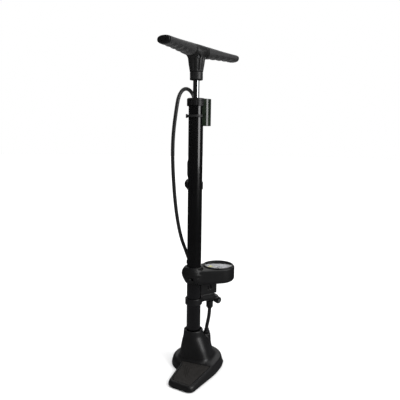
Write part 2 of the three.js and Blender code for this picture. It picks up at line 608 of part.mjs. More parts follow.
function plunger() {
  const sections = (list, side) => loft(list.map(([along, w, t]) => handleSection(along, w, t, side)));
  const spineList = [[0, 22, 12], [HANDLE.kink, 22, 12], [HANDLE.half - 6, 20, 7.8]];
  const middleList = [[0, 38, 25], [12, 37, 25], [HANDLE.kink, 35.5, 24.8], [HANDLE.coreHalf, 34, 24.4]];
  const spine = [-1, 1].map((side) => sections(spineList, side));
  const middle = [-1, 1].map((side) => sections(middleList, side));
  const neck = lathe([
    [0, NECK.bottom], [NECK.r - 0.8, NECK.bottom], [NECK.r, NECK.bottom + 0.8],
    [NECK.r, 661], [14.8, 664], [17.4, 680], [NECK.topR, 690], [17, 701], [0, 701],
  ]);
  const rodWay = disc(ROD_R + GAP, 600, ROD.top + GAP, 24);
  const screwX = [-HANDLE_SCREW.x, HANDLE_SCREW.x];
  const screwWays = screwX.map((x) => discAlongY(3.9, x, -40, -11, HANDLE_SCREW.z));
  const shankWays = screwX.map((x) => discAlongY(1.9, x, -40, 9, HANDLE_SCREW.z));
  const core = cut(join(...middle, ...spine, neck), rodWay, ...screwWays, ...shankWays);
  add(handleGroup, "handle_core", core, "handleGrey");

  for (const [side, name] of [[-1, "near"], [1, "far"]]) {
    const outer = sections([
      [HANDLE.coreHalf + GAP, 34.5, 24.6], [45, 32.5, 22.6], [75, 31, 19], [100, 30.6, 17],
      [HANDLE.half - 6, 30.2, 16],
    ], side);
    const way = sections([[10, 22.6, 12.6], [HANDLE.kink, 22.6, 12.6], [HANDLE.half + 5, 20.6, 8.4]], side);
    add(handleGroup, `grip_${name}`, cut(outer, way), "gripBlack");
    const cap = sections([
      [HANDLE.half - 5.7, 29.6, 15.6], [HANDLE.half - 2, 28.8, 15], [HANDLE.half, 25, 11.6],
    ], side);
    add(handleGroup, `end_cap_${name}`, cap, "satinBlack");
  }
  for (const [i, x] of screwX.entries()) {
    const shank = discAlongY(1.6, x, -12, 8, HANDLE_SCREW.z);
    const screw = join(discAlongY(3.4, x, -14.2, -11.4, HANDLE_SCREW.z), shank);
    add(handleGroup, `handle_screw_${i + 1}`, screw, "steel");
  }

  const rodBore = disc(5.7, ROD.bottom - 5, ROD.top - 8, 20);
  add(handleGroup, "rod", cut(disc(ROD_R, ROD.bottom, ROD.top, 28), rodBore), "chrome");
  add(handleGroup, "rod_plug", ring(2.6, 5.4, ROD.bottom, ROD.bottom + 16, 20), "steel");
  add(handleGroup, "piston_bolt", join(disc(5.6, 74.4, 77.7, 6), disc(2.3, 77, 102, 12)), "steel");
  add(handleGroup, "piston_bumper", ring(7.4, 12, PISTON.top + GAP, PISTON.top + 11), "rubber");

  const piston = lathe([
    [2.6, PISTON.bottom], [PISTON.r, PISTON.bottom], [PISTON.r, 82], [11, 82], [11, 90], [PISTON.r, 90],
    [PISTON.r, PISTON.top], [ROD_R + GAP, PISTON.top], [ROD_R + GAP, ROD.bottom - GAP],
    [2.6, ROD.bottom - GAP], [2.6, PISTON.bottom],
  ]);
  add(root, "piston", piston, "white");
  const seal = lathe([[11.3, 82.4], [13.2, 82.4], [14.5, 86], [14.5, 89.6], [11.3, 89.6], [11.3, 82.4]]);
  add(root, "piston_seal", seal, "rubber");
}

// ---------------------------------------------------------------- hang card and its tie

// A blank card bent round the barrel's right-hand side, with both its edges tucked under the tie.
function card() {
  const middle = new THREE.SplineCurve([
    [16.2, -5.2], [20.2, -3.6], [26, 1], [29.5, 9], [27.5, 18], [20.5, 22.6], [12.5, 20.6], [6.8, 17.4],
  ].map(([x, y]) => new THREE.Vector2(x, y)));
  const line = middle.getPoints(28);
  const side = (offset) =>
    line.map((p, i) => {
      const [before, after] = [line[Math.max(i - 1, 0)], line[Math.min(i + 1, line.length - 1)]];
      const along = after.clone().sub(before).normalize();
      return new THREE.Vector2(p.x + along.y * offset, p.y - along.x * offset);
    });
  const section = [...side(CARD.thickness / 2), ...side(-CARD.thickness / 2).reverse()];
  const sheet = new THREE.ExtrudeGeometry(new THREE.Shape(section), {
    depth: CARD.top - CARD.bottom, bevelEnabled: false,
  }).translate(0, 0, CARD.bottom);
  const tieReach = TIE.height / 2 + 0.5;
  const tieWay = ring(TIE.inner - GAP - 0.2, TIE.outer + GAP, TIE.z - tieReach, TIE.z + tieReach);
  const capWay = disc(CAP.r + 0.8, CAP.bottom - 1, CAP.top + 5);
  const barrelWay = disc(BARREL.r + GAP, 500, 640);
  add(root, "hang_card", cut(sheet, tieWay, capWay, barrelWay), "card");
  const band = ring(TIE.inner, TIE.outer, TIE.z - TIE.height / 2, TIE.z + TIE.height / 2);
  const knob = turned(box(TIE.inner + 0.5, TIE.outer + 3, -3.4, 3.4, TIE.z - 4, TIE.z + 4), 205);
  add(root, "card_tie", join(band, knob), "satinBlack");
}

base();
barrel();
outlet();
gauge();
hose();
head();
plunger();
card();

export default root;
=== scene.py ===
import math

import bmesh
import bpy
import numpy as np
from mathutils import Matrix, Vector


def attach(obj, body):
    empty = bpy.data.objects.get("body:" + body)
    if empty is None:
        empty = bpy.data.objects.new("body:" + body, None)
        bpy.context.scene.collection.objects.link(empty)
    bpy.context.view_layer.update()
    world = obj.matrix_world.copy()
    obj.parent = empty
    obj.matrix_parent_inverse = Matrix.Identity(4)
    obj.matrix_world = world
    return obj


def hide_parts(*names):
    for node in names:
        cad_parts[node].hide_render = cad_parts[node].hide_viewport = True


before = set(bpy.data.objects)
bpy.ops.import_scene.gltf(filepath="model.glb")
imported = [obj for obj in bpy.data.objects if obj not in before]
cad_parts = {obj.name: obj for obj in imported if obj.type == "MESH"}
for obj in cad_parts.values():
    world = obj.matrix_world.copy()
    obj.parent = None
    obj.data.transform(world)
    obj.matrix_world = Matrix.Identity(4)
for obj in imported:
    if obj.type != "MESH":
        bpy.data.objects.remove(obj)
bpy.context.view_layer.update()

MM = 0.001
ARM = 50.0  # bearing of the gauge arm and the outlet port, degrees from +X
HEAD = 128.0  # bearing of the docked pump head
HANDLE = 72.4  # bearing of the handle's long axis
CAMERA_BEARING = 20.0


def turned(points, bearing):
    """Points turned by a bearing about Z."""
    c, s = math.cos(math.radians(bearing)), math.sin(math.radians(bearing))
    x, y, z = points.T
    return np.column_stack([x * c - y * s, x * s + y * c, z])


def span(node, bearing=0.0):
    """Lowest and highest corner of a CAD node in millimetres, on axes turned by a bearing about Z."""
    points = np.array([v.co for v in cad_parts[node].data.vertices]) / MM
    points = turned(points, -bearing)
    return points.min(0), points.max(0)


# ---------------------------------------------------------------- camera

def make_camera():
    tilt, roll = math.radians(7.786), math.radians(0.79)
    turn = math.radians(CAMERA_BEARING + 0.1)
    level_right = Vector((math.cos(turn), math.sin(turn), 0))
    level_ahead = Vector((-math.sin(turn), math.cos(turn), 0))
    ahead = level_ahead * math.cos(tilt) - Vector((0, 0, 1)) * math.sin(tilt)
    level_up = level_ahead * math.sin(tilt) + Vector((0, 0, 1)) * math.cos(tilt)
    right = level_right * math.cos(roll) + level_up * math.sin(roll)
    up = level_up * math.cos(roll) - level_right * math.sin(roll)
    data = bpy.data.cameras.new("camera")
    data.lens, data.sensor_width = 38.7, 36.0
    camera = bpy.data.objects.new("camera", data)
    bpy.context.scene.collection.objects.link(camera)
    place = Matrix.Translation((0.3363, -0.8858, 0.5169))
    camera.matrix_world = place @ Matrix((right, up, -ahead)).transposed().to_4x4()
    bpy.context.scene.camera = camera


make_camera()

# ---------------------------------------------------------------- meshes

def link(name, mesh):
    made = bpy.data.objects.new(name, mesh)
    bpy.context.scene.collection.objects.link(made)
    return made


def piece(name, points, faces, bearing=0.0, sharp=None, weld=False):
    """An object from points in millimetres on axes turned about Z. Edges past sharp degrees stay sharp."""
    points = turned(np.asarray(points, float) * MM, bearing)
    mesh = bpy.data.meshes.new(name)
    mesh.from_pydata(points.tolist(), [], [list(map(int, f)) for f in faces])
    if weld:
        work = bmesh.new()
        work.from_mesh(mesh)
        bmesh.ops.remove_doubles(work, verts=work.verts, dist=1e-7)
        bmesh.ops.dissolve_degenerate(work, edges=work.edges, dist=1e-7)
        bmesh.ops.recalc_face_normals(work, faces=work.faces)
        work.to_mesh(mesh)
        work.free()
    mesh.shade_smooth()
    if sharp is not None:
        mesh.set_sharp_from_angle(angle=math.radians(sharp))
    return link(name, mesh)


def fillet(profile, radius, steps, closed):
    """A profile of (r, z) or (r, z, corner radius) points with every corner rounded."""
    rounded = []
    count = len(profile)
    for i, point in enumerate(profile):
        here = np.array(point[:2], float)
        size = point[2] if len(point) > 2 else radius
        if (not closed and i in (0, count - 1)) or size == 0:
            rounded.append(here)
            continue
        before = np.array(profile[i - 1][:2], float) - here
        after = np.array(profile[(i + 1) % count][:2], float) - here
        reach = min(size, 0.48 * np.linalg.norm(before), 0.48 * np.linalg.norm(after))
        start = here + before / np.linalg.norm(before) * reach
        end = here + after / np.linalg.norm(after) * reach
        for t in np.linspace(0, 1, steps + 1):
            rounded.append((1 - t) ** 2 * start + 2 * t * (1 - t) * here + t * t * end)
    return np.array(rounded)


def lathe(name, profile, radius=0.5, segments=96, closed=False, shape=None, at=(0, 0), bearing=0.0, steps=4):
    """A solid of revolution about Z with rounded corners. shape(angle, r, z) may change its radii."""
    points = fillet(profile, radius, steps, closed)
    angle = np.linspace(0, 2 * math.pi, segments, endpoint=False)[:, None]
    r = np.broadcast_to(points[:, 0], (segments, len(points)))
    z = np.broadcast_to(points[:, 1], r.shape)
    if shape:
        r = np.where(r > 1e-6, shape(angle, r, z), 0)
    verts = np.stack([r * np.cos(angle) + at[0], r * np.sin(angle) + at[1], z], -1).reshape(-1, 3)
    count = len(points)
    faces = []
    for i in range(segments):
        a, b = i * count, (i + 1) % segments * count
        for j in range(count if closed else count - 1):
            k = (j + 1) % count
            faces.append((a + j, b + j, b + k, a + k))
    return piece(name, verts, faces, bearing, sharp=50, weld=True)


def swept(name, points, radius, sides=24, bearing=0.0):
    """A closed round tube through points, with radius a number or one for each point."""
    points = np.asarray(points, float)
    radii = np.broadcast_to(radius, len(points))
    along = np.gradient(points, axis=0)
    along /= np.linalg.norm(along, axis=1)[:, None]
    across = np.cross(along[0], (0.3, 0.2, 0.93))
    rings = []
    for point, direction, r in zip(points, along, radii):
        across = across - direction * (across @ direction)
        across /= np.linalg.norm(across)
        other = np.cross(direction, across)
        a = np.linspace(0, 2 * math.pi, sides, endpoint=False)[:, None]
        rings.append(point + r * (np.cos(a) * across + np.sin(a) * other))
    verts = np.vstack(rings + [points[:1], points[-1:]])
    last = (len(points) - 1) * sides
    faces = [
        (i * sides + j, i * sides + (j + 1) % sides, (i + 1) * sides + (j + 1) % sides, (i + 1) * sides + j)
        for i in range(len(points) - 1) for j in range(sides)
    ]
    faces += [(len(verts) - 2, (j + 1) % sides, j) for j in range(sides)]
    faces += [(len(verts) - 1, last + j, last + (j + 1) % sides) for j in range(sides)]
    return piece(name, verts, faces, bearing, sharp=50)


def spline(points, count):
    """A centripetal Catmull-Rom curve through points."""
    def between(start, stop, a, b):
        gap = knots[stop] - knots[start]
        return (knots[stop] - t) / gap * a + (t - knots[start]) / gap * b

    p = np.asarray(points, float)
    p = np.vstack([2 * p[0] - p[1], p, 2 * p[-1] - p[-2]])
    out = []
    for i in range(1, len(p) - 2):
        knots = [0.0]
        for a, b in ((i - 1, i), (i, i + 1), (i + 1, i + 2)):
            knots.append(knots[-1] + math.sqrt(np.linalg.norm(p[b] - p[a])))
        t = np.linspace(knots[1], knots[2], count, endpoint=False)[:, None]
        first = between(0, 1, p[i - 1], p[i])
        middle = between(1, 2, p[i], p[i + 1])
        last = between(2, 3, p[i + 1], p[i + 2])
        out.append(between(1, 2, between(0, 2, first, middle), between(1, 3, middle, last)))
    return np.vstack(out + [p[-2:-1]])


# ---------------------------------------------------------------- moulded forms, as distance fields

CORNERS = [(i, j, k) for i in (0, 1) for j in (0, 1) for k in (0, 1)]
EDGES = [(a, b) for a in CORNERS for b in CORNERS if a < b and sum(abs(p - q) for p, q in zip(a, b)) == 1]


def moulded(name, field, low, high, step, bearing=0.0):
    """A smooth closed surface where field(x, y, z) is zero, negative inside, by surface nets."""
    axes = [np.arange(low[i] - 2 * step, high[i] + 3 * step, step) for i in range(3)]
    x, y, z = axes[0][:, None, None], axes[1][None, :, None], axes[2][None, None, :]
    value = np.broadcast_to(field(x, y, z), tuple(len(a) for a in axes)).astype(np.float64)
    inside = value < 0
    size = [n - 1 for n in value.shape]
    count = sum(
        inside[i:i + size[0], j:j + size[1], k:k + size[2]].astype(np.int8) for i, j, k in CORNERS
    )
    active = (count > 0) & (count < 8)
    number = np.full(active.shape, -1)
    number[active] = np.arange(active.sum())
    cell = np.argwhere(active)
    total, hits = np.zeros(cell.shape), np.zeros(len(cell))
    for a, b in EDGES:
        va = value[tuple((cell + a).T)]
        vb = value[tuple((cell + b).T)]
        cross = (va < 0) != (vb < 0)
        t = np.where(cross, va / np.where(cross, va - vb, 1), 0)
        total += cross[:, None] * (np.array(a) + t[:, None] * (np.array(b) - np.array(a)))
        hits += cross
    verts = np.array([axes[i][0] for i in range(3)]) + (cell + total / hits[:, None]) * step
    faces = []
    for axis in range(3):
        u, v = (axis + 1) % 3, (axis + 2) % 3
        first = np.take(inside, range(inside.shape[axis] - 1), axis)
        second = np.take(inside, range(1, inside.shape[axis]), axis)
        at = np.argwhere(first != second)
        step_u, step_v = np.eye(3, dtype=int)[u], np.eye(3, dtype=int)[v]
        quad = np.stack([number[tuple((at - d).T)] for d in (0 * step_u, step_u, step_u + step_v, step_v)], 1)
        outward = first[tuple(at.T)]
        faces.append(np.where(outward[:, None], quad, quad[:, ::-1]))
    return piece(name, verts, np.vstack(faces), bearing)


def either(a, b, blend=0.8):
    """Both shapes joined, with a fillet."""
    h = np.clip(0.5 + 0.5 * (b - a) / blend, 0, 1)
    return b + (a - b) * h - blend * h * (1 - h)


def both(a, b, blend=0.8):
    """What the shapes share, with a rounded edge."""
    return -either(-a, -b, blend)


def less(a, b, blend=0.8):
    """The first shape with the second cut out."""
    return both(a, -b, blend)


def circle(x, y, r):
    return np.sqrt(x * x + y * y) - r


def slab(z, low, high):
    return np.abs(z - (low + high) / 2) - (high - low) / 2


def block(x, y, z, low, high, radius=1.0):
    """A box between two corners with rounded edges."""
    sides = [slab(v, low[i] + radius, high[i] - radius) for i, v in enumerate((x, y, z))]
    outside = np.sqrt(sum(np.maximum(s, 0) ** 2 for s in sides))
    return outside + np.minimum(np.maximum(np.maximum(sides[0], sides[1]), sides[2]), 0) - radius


def prism(flat, z, low, high, radius=1.0):
    """A flat distance drawn up between two heights, with rounded rims."""
    a, b = flat + radius, slab(z, low + radius, high - radius)
    return np.minimum(np.maximum(a, b), 0) + np.sqrt(np.maximum(a, 0) ** 2 + np.maximum(b, 0) ** 2) - radius


def polygon(points, x, y):
    """Signed distance to a closed outline, negative inside."""
    nearest = np.full(np.broadcast(x, y).shape, 1e9)
    sign = np.ones(nearest.shape)
    for i, (bx, by) in enumerate(points):
        ax, ay = points[i - 1]
        ex, ey = ax - bx, ay - by
        wx, wy = x - bx, y - by
        t = np.clip((wx * ex + wy * ey) / (ex * ex + ey * ey), 0, 1)
        nearest = np.minimum(nearest, (wx - ex * t) ** 2 + (wy - ey * t) ** 2)
        c1, c2, c3 = y >= by, y < ay, ex * wy > ey * wx
        flip = (c1 & c2 & c3) | (~c1 & ~c2 & ~c3)
        sign = np.where(flip, -sign, sign)
    return sign * np.sqrt(nearest)


def eased(t):
    t = np.clip(t, 0, 1)
    return t * t * (3 - 2 * t)


# ---------------------------------------------------------------- materials

class Nodes:
    """A short way to write a material's node tree."""

    def __init__(self, name):
        self.material = bpy.data.materials.new(name)
        self.material.use_nodes = True
        self.tree = self.material.node_tree
        self.shader = next(n for n in self.tree.nodes if n.type == "BSDF_PRINCIPLED")
        self.place = self.make("ShaderNodeTexCoord").outputs["Object"]

    def make(self, kind, **values):
        node = self.tree.nodes.new(kind)
        for key, value in values.items():
            if hasattr(node, key) and key not in node.inputs:
                setattr(node, key, value)
            else:
                node.inputs[key].default_value = value
        return node

    def wire(self, out, into):
        self.tree.links.new(out, into)

    def stretched(self, scale):
        mapping = self.make("ShaderNodeMapping")
        mapping.inputs["Scale"].default_value = scale
        self.wire(self.place, mapping.inputs["Vector"])
        return mapping.outputs["Vector"]

    def noise(self, scale, detail=3.0, rough=0.5, vector=None):
        node = self.make("ShaderNodeTexNoise", Scale=scale, Detail=detail, Roughness=rough)
        self.wire(vector or self.place, node.inputs["Vector"])
        return node.outputs["Fac"]

    def cells(self, scale, vector=None):
        node = self.make("ShaderNodeTexVoronoi", Scale=scale)
        self.wire(vector or self.place, node.inputs["Vector"])
        return node.outputs["Distance"]

    def ramp(self, fac, *stops):
        node = self.make("ShaderNodeValToRGB")
        line = node.color_ramp
        while len(line.elements) < len(stops):
            line.elements.new(0.5)
        for element, (at, value) in zip(line.elements, stops):
            element.position = at
            element.color = (*value, 1) if isinstance(value, tuple) else (value, value, value, 1)
        self.wire(fac, node.inputs["Fac"])
        return node.outputs["Color"]

    def math(self, operation, a, b):
        node = self.make("ShaderNodeMath", operation=operation)
        for socket, value in zip(node.inputs, (a, b)):
            if isinstance(value, (int, float)):
                socket.default_value = value
            else:
                self.wire(value, socket)
        return node.outputs["Value"]

    def bump(self, height, distance, strength=1.0, under=None):
        node = self.make("ShaderNodeBump", Distance=distance, Strength=strength)
        self.wire(height, node.inputs["Height"])
        if under is not None:
            self.wire(under, node.inputs["Normal"])
        return node.outputs["Normal"]

    def edges(self):
        """A painted highlight on a surface's outer edges, from its own shape."""
        return self.ramp(self.make("ShaderNodeNewGeometry").outputs["Pointiness"], (0.52, 0.0), (0.62, 1.0))

    def set(self, **links):
        for key, value in links.items():
            socket = self.shader.inputs[key.replace("_", " ")]
            if isinstance(value, (int, float, tuple)):
                socket.default_value = value
            else:
                self.wire(value, socket)
        return self.material


def mixed(n, fac, low, high):
    """A colour between two, by a factor."""
    return n.ramp(fac, (0.3, low), (0.7, high))


def satin_plastic(name, dark, light, rough, grain=1400, depth=0.00006, edge_highlight=0.35):
    """Moulded plastic with a fine spark texture, faint flow marks and a painted highlight on its outer edges.
    """
    n = Nodes(name)
    flow = n.noise(38, 4, 0.6)
    body = mixed(n, flow, dark, light)
    # Painted highlight: outer edges are mixed towards a paler colour that stands in for light catching them.
    mix = n.make("ShaderNodeMix", data_type="RGBA")
    n.wire(n.math("MULTIPLY", n.edges(), edge_highlight), mix.inputs["Factor"])
    n.wire(body, mix.inputs["A"])
    mix.inputs["B"].default_value = (*[min(1.0, c * 2.6 + 0.01) for c in light], 1)
    surface = n.ramp(n.noise(420, 3, 0.6), (0.3, rough - 0.05), (0.7, rough + 0.06))
    normal = n.bump(n.noise(grain, 2, 0.6), depth, 0.7)
    return n.set(Base_Color=mix.outputs["Result"], Roughness=surface, Normal=normal)


def gloss_coat(name):
    """Black powder coat under gloss: deep, with a slight orange peel and hairline rubs along the tube."""
    n = Nodes(name)
    body = mixed(n, n.noise(22, 3), (0.0016, 0.0016, 0.0018), (0.0026, 0.0026, 0.0029))
    rubs = n.noise(160, 3, 0.7, n.stretched((1, 1, 0.05)))
    rough = n.ramp(rubs, (0.35, 0.16), (0.75, 0.26))
    normal = n.bump(n.noise(260, 2), 0.00008, 0.35)
    return n.set(Base_Color=body, Roughness=rough, Normal=normal, Coat_Weight=0.35, Coat_Roughness=0.06)


def rubber(name, dark, light, rough, grain=900, depth=0.00008):
    """Matt elastomer with a dusty bloom."""
    n = Nodes(name)
    body = mixed(n, n.noise(60, 5, 0.65), dark, light)
    surface = n.ramp(n.noise(180, 3), (0.3, rough - 0.08), (0.7, rough + 0.08))
    normal = n.bump(n.noise(grain, 3), depth, 0.6)
    return n.set(Base_Color=body, Roughness=surface, Normal=normal, Sheen_Weight=0.12, Sheen_Roughness=0.5)


def tread_rubber(name):
    """Pebbled warm grey rubber, with a painted highlight on its ridges."""
    n = Nodes(name)
    pebbles = n.cells(780)
    body = mixed(n, n.noise(90, 5, 0.7), (0.012, 0.011, 0.010), (0.019, 0.017, 0.016))
    # Painted highlight: the ridges are mixed towards a paler colour that stands in for light catching them.
    mix = n.make("ShaderNodeMix", data_type="RGBA")
    n.wire(n.math("MULTIPLY", n.edges(), 0.5), mix.inputs["Factor"])
    n.wire(body, mix.inputs["A"])
    mix.inputs["B"].default_value = (0.034, 0.031, 0.028, 1)
    normal = n.bump(pebbles, 0.00035, 0.8, n.bump(n.noise(2200, 2), 0.0001, 0.5))
    rough = n.ramp(pebbles, (0.0, 0.7), (0.6, 0.9))
    return n.set(Base_Color=mix.outputs["Result"], Roughness=rough, Normal=normal, Specular_IOR_Level=0.25)


def plated(name, colour, rough, brushed=(1, 1, 1), streak=0.05):
    """Metal with fine polishing lines."""
    n = Nodes(name)
    lines = n.noise(900, 3, 0.6, n.stretched(brushed))
    body = mixed(n, n.noise(45, 4), tuple(c * 0.93 for c in colour), colour)
    surface = n.ramp(lines, (0.3, max(0.02, rough - streak)), (0.7, rough + streak))
    normal = n.bump(lines, 0.00002, 0.4)
    return n.set(Base_Color=body, Roughness=surface, Normal=normal, Metallic=1.0)


def printed(name, low, high, rough, coat=0.0):
    """Smooth lacquered or moulded surface with a little tone."""
    n = Nodes(name)
    body = mixed(n, n.noise(70, 4), low, high)
    surface = n.ramp(n.noise(300, 2), (0.3, rough - 0.03), (0.7, rough + 0.05))
    normal = n.bump(n.noise(700, 2), 0.00003, 0.4)
    return n.set(Base_Color=body, Roughness=surface, Normal=normal, Coat_Weight=coat)


def clear_lens(name):
    n = Nodes(name)
    surface = n.ramp(n.noise(240, 3), (0.4, 0.015), (0.8, 0.05))
    return n.set(Base_Color=(0.97, 0.98, 1.0, 1), Roughness=surface, Transmission_Weight=1.0, IOR=1.45)


def card_print(name):
    """Laminated card, dark green-black and softly mottled."""
    n = Nodes(name)
    body = mixed(n, n.noise(55, 4, 0.6), (0.004, 0.007, 0.004), (0.012, 0.019, 0.011))
    surface = n.ramp(n.noise(90, 3), (0.3, 0.12), (0.7, 0.24))
    normal = n.bump(n.noise(50, 2), 0.0004, 0.4)
    return n.set(Base_Color=body, Roughness=surface, Normal=normal, Coat_Weight=0.5)


FINISH = {
    "satin_black": satin_plastic("satin_black", (0.0038, 0.0038, 0.0042), (0.0056, 0.0056, 0.0061), 0.42),
    "handle_grey": satin_plastic("handle_grey", (0.007, 0.0071, 0.0076), (0.0105, 0.0107, 0.0112), 0.44),
    "grip": rubber("grip", (0.010, 0.0101, 0.0108), (0.0145, 0.0147, 0.0155), 0.5, 1200),
    "gloss_black": gloss_coat("gloss_black"),
    "rubber": rubber("rubber", (0.0035, 0.0035, 0.0038), (0.006, 0.006, 0.0063), 0.45),
    "tread": tread_rubber("tread"),
    "chrome": plated("chrome", (0.36, 0.37, 0.38), 0.06, (1, 1, 0.02), 0.02),
    "steel": plated("steel", (0.34, 0.35, 0.36), 0.36),
    "brass": plated("brass", (0.72, 0.55, 0.25), 0.3),
    "dial": printed("dial", (0.47, 0.46, 0.49), (0.53, 0.52, 0.55), 0.45),
    "lens": clear_lens("lens"),
    "needle": printed("needle", (0.012, 0.012, 0.012), (0.02, 0.02, 0.02), 0.4),
    "white_plastic": printed("white_plastic", (0.74, 0.74, 0.70), (0.8, 0.8, 0.77), 0.45),
    "card": card_print("card"),
    "dial_ink": printed("dial_ink", (0.015, 0.015, 0.017), (0.03, 0.03, 0.033), 0.5),
    "dial_yellow": printed("dial_yellow", (0.86, 0.80, 0.0), (0.90, 0.85, 0.004), 0.5),
}


def done(made, finish, body, *nodes, slot=None):
    """Gives a piece its finish and body, and hides the CAD nodes that it stands for."""
    made.data.materials.clear()
    made.data.materials.append(FINISH[finish])
    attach(made, body)
    if nodes:
        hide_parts(*nodes)
    return made


def skin(node, name, field, step, finish, body="pump_frame", bearing=0.0, margin=0.0):
    """A moulded piece that stands for one CAD node, on a grid a margin wider than it."""
    low, high = span(node, bearing)
    return done(moulded(name, field, low - margin, high + margin, step, bearing), finish, body, node)


# ---------------------------------------------------------------- main hose, a free cord

HOSE_ROUTE = [
    (-0.0185, 0.0236, 0.4585), (-0.0181, 0.0250, 0.4845), (-0.0173, 0.0274, 0.5103),
    (-0.0163, 0.0308, 0.5359), (-0.0155, 0.0343, 0.5608), (-0.0151, 0.0366, 0.5857),
    (-0.0153, 0.0357, 0.5981), (-0.0161, 0.0316, 0.6101), (-0.0175, 0.0237, 0.6200),
    (-0.0195, 0.0127, 0.6265), (-0.0217, 0.0002, 0.6286), (-0.0240, -0.0123, 0.6261),
    (-0.0259, -0.0230, 0.6191), (-0.0274, -0.0306, 0.6090), (-0.0286, -0.0348, 0.5972),
    (-0.0299, -0.0366, 0.5848), (-0.0314, -0.0376, 0.5724), (-0.0344, -0.0385, 0.5476),
    (-0.0369, -0.0378, 0.5223), (-0.0386, -0.0358, 0.4964), (-0.0395, -0.0329, 0.4706),
    (-0.0398, -0.0295, 0.4448), (-0.0397, -0.0257, 0.4191), (-0.0393, -0.0214, 0.3935),
    (-0.0384, -0.0166, 0.3679), (-0.0369, -0.0112, 0.3426), (-0.0347, -0.0048, 0.3175),
    (-0.0314, 0.0029, 0.2929), (-0.0260, 0.0112, 0.2689), (-0.0203, 0.0166, 0.2480),
]
HOSE_R = 4.0


def make_hose():
    route = HOSE_ROUTE[::-1]
    data = bpy.data.curves.new("main_hose_skin", "CURVE")
    data.dimensions = "3D"
    data.bevel_depth, data.bevel_resolution = HOSE_R * MM, 6
    data.use_fill_caps, data.resolution_u = True, 4
    fine = spline(route, 6)
    line = data.splines.new("POLY")
    line.points.add(len(fine) - 1)
    for point, at in zip(line.points, fine):
        point.co = (*at, 1)
    line.use_smooth = True
    hose = link("main_hose_skin", data)
    done(hose, "rubber", "pump_frame", "main_hose")


make_hose()

# ---------------------------------------------------------------- base

PLATE = dict(x=7.5, y=10.0, r=60.0, bottom=1.5, rim=5.0, top=22.0, slope=3.6)
PAD = dict(left=-18.5, tip_left=-111.0, tip_right=-118.0, right=45.0, slope_from=-28.0, drop=9.5)
TREAD_INSET = 9.8
PORT_X, FEED_X = 36.0, 43.0
TREAD_NEAR = -34.3
HUB_LEVELS = np.array([  # height, centre x, centre y, half width x, half width y, squareness
    (10, 9, 5, 40, 37, 3.2), (20, 9, 5, 39, 36, 3.2), (45, 5.6, 3.1, 33, 31.5, 2.9),
    (60, 3.0, 1.7, 28.2, 27.3, 2.5), (73, 0.8, 0.4, 23.4, 23.4, 2.0), (79, 0.4, 0.2, 22.8, 22.8, 2.0),
    (88, 0, 0, 21.7, 21.7, 2.0),
])


def base_outline():
    """The base seen from above: a round plate with one pad that narrows to its toe."""
    def curve(a, b, c, count=10):
        t = np.linspace(0, 1, count)[:, None]
        return (1 - t) ** 2 * np.array(a) + 2 * t * (1 - t) * np.array(b) + t * t * np.array(c)

    meet = math.atan2(-math.sqrt(PLATE["r"] ** 2 - (PAD["left"] - PLATE["x"]) ** 2), PAD["left"] - PLATE["x"])
    left, right = PAD["left"], PAD["right"]
    tip_left, tip_right = PAD["tip_left"], PAD["tip_right"]
    edge = PLATE["x"] + PLATE["r"]
    angle = np.linspace(0, meet + 2 * math.pi - 0.02, 90)[1:]
    return np.vstack([
        [(left, PLATE["y"] + PLATE["r"] * math.sin(meet) - 2)],
        curve((left, tip_left + 17), (left + 0.5, tip_left + 1), (left + 17, tip_left - 1.5)),
        curve((right - 14, tip_right), (right - 1, tip_right), (right + 1.5, tip_right + 16)),
        curve((right + 16, -44), (edge, -20), (edge, PLATE["y"])),
        np.column_stack([PLATE["x"] + PLATE["r"] * np.cos(angle), PLATE["y"] + PLATE["r"] * np.sin(angle)]),
    ])


OUTLINE = base_outline()


def plate_top(y, top):
    return top - PAD["drop"] * np.maximum(0, (PAD["slope_from"] - y) / (PAD["slope_from"] - PAD["tip_right"]))


def hub_field(x, y, z):
    heights = z.ravel()
    fine = [np.interp(heights, HUB_LEVELS[:, 0], HUB_LEVELS[:, i]) for i in range(1, 6)]
    kernel = np.hanning(15) / np.hanning(15).sum()
    fine = [np.convolve(np.pad(f, 7, mode="edge"), kernel, "valid").reshape(z.shape) for f in fine]
    cx, cy, a, b, n = fine
    ratio = (np.abs((x - cx) / a) ** n + np.abs((y - cy) / b) ** n) ** (1 / n)
    return (ratio - 1) * np.minimum(a, b) * 0.93


def base_field(x, y, z):
    edge = polygon(OUTLINE, x, y)
    top = plate_top(y, PLATE["top"])
    skirt = (z - PLATE["rim"] + edge * PLATE["slope"]) / math.hypot(1, PLATE["slope"])
    plate = both(both(edge, skirt, 1.0), z - top, 4 + 6 * eased((-x - 5) / 20))
    hub = both(hub_field(x, y, z), z - 87, 2.2)
    front = -((y + 34.5) + (z - 20) * 0.30) / 1.05
    hub = both(hub, front, 4)
    panel = block(x - 10, y + 30, z, (-13, -14, 24), (8, 6, 46), 1.5)
    px, py = x - PORT_X * math.cos(math.radians(ARM)), y - PORT_X * math.sin(math.radians(ARM))
    boss = prism(circle(px, py, 14 - (z - 3) * 0.076), z, 3, 69, 1.5)
    body = either(either(plate, hub, 7), boss, 6)
    recess = both(-front - 1.3, panel, 0.8)
    body = less(body, recess, 1.2)
    body = less(body, prism(circle(x, y, 18.6), z, 82, 120, 0.5), 1.0)
    body = less(body, prism(circle(x, y, 16.2), z, 21.8, 120, 0.3), 0.6)
    body = less(body, prism(circle(px, py, 6.5), z, 34, 120, 0.3), 0.8)
    body = less(body, prism(circle(x, y, 8), z, -20, 14, 0.4), 0.8)
    body = less(body, prism(circle(x, y, 4.3), z, -20, 30, 0.3), 0.6)
    for fx, fy in FEET:
        body = less(body, prism(circle(x - fx, y - fy, 15.3), z, -20, 4.3, 0.3), 0.6)
    pit = both(both(edge + TREAD_INSET - 0.8, y - TREAD_NEAR - 0.6, 3), plate_top(y, 18.8) - z, 0.6)
    body = less(body, pit, 0.8)
    return both(body, PLATE["bottom"] - z, 1.0)


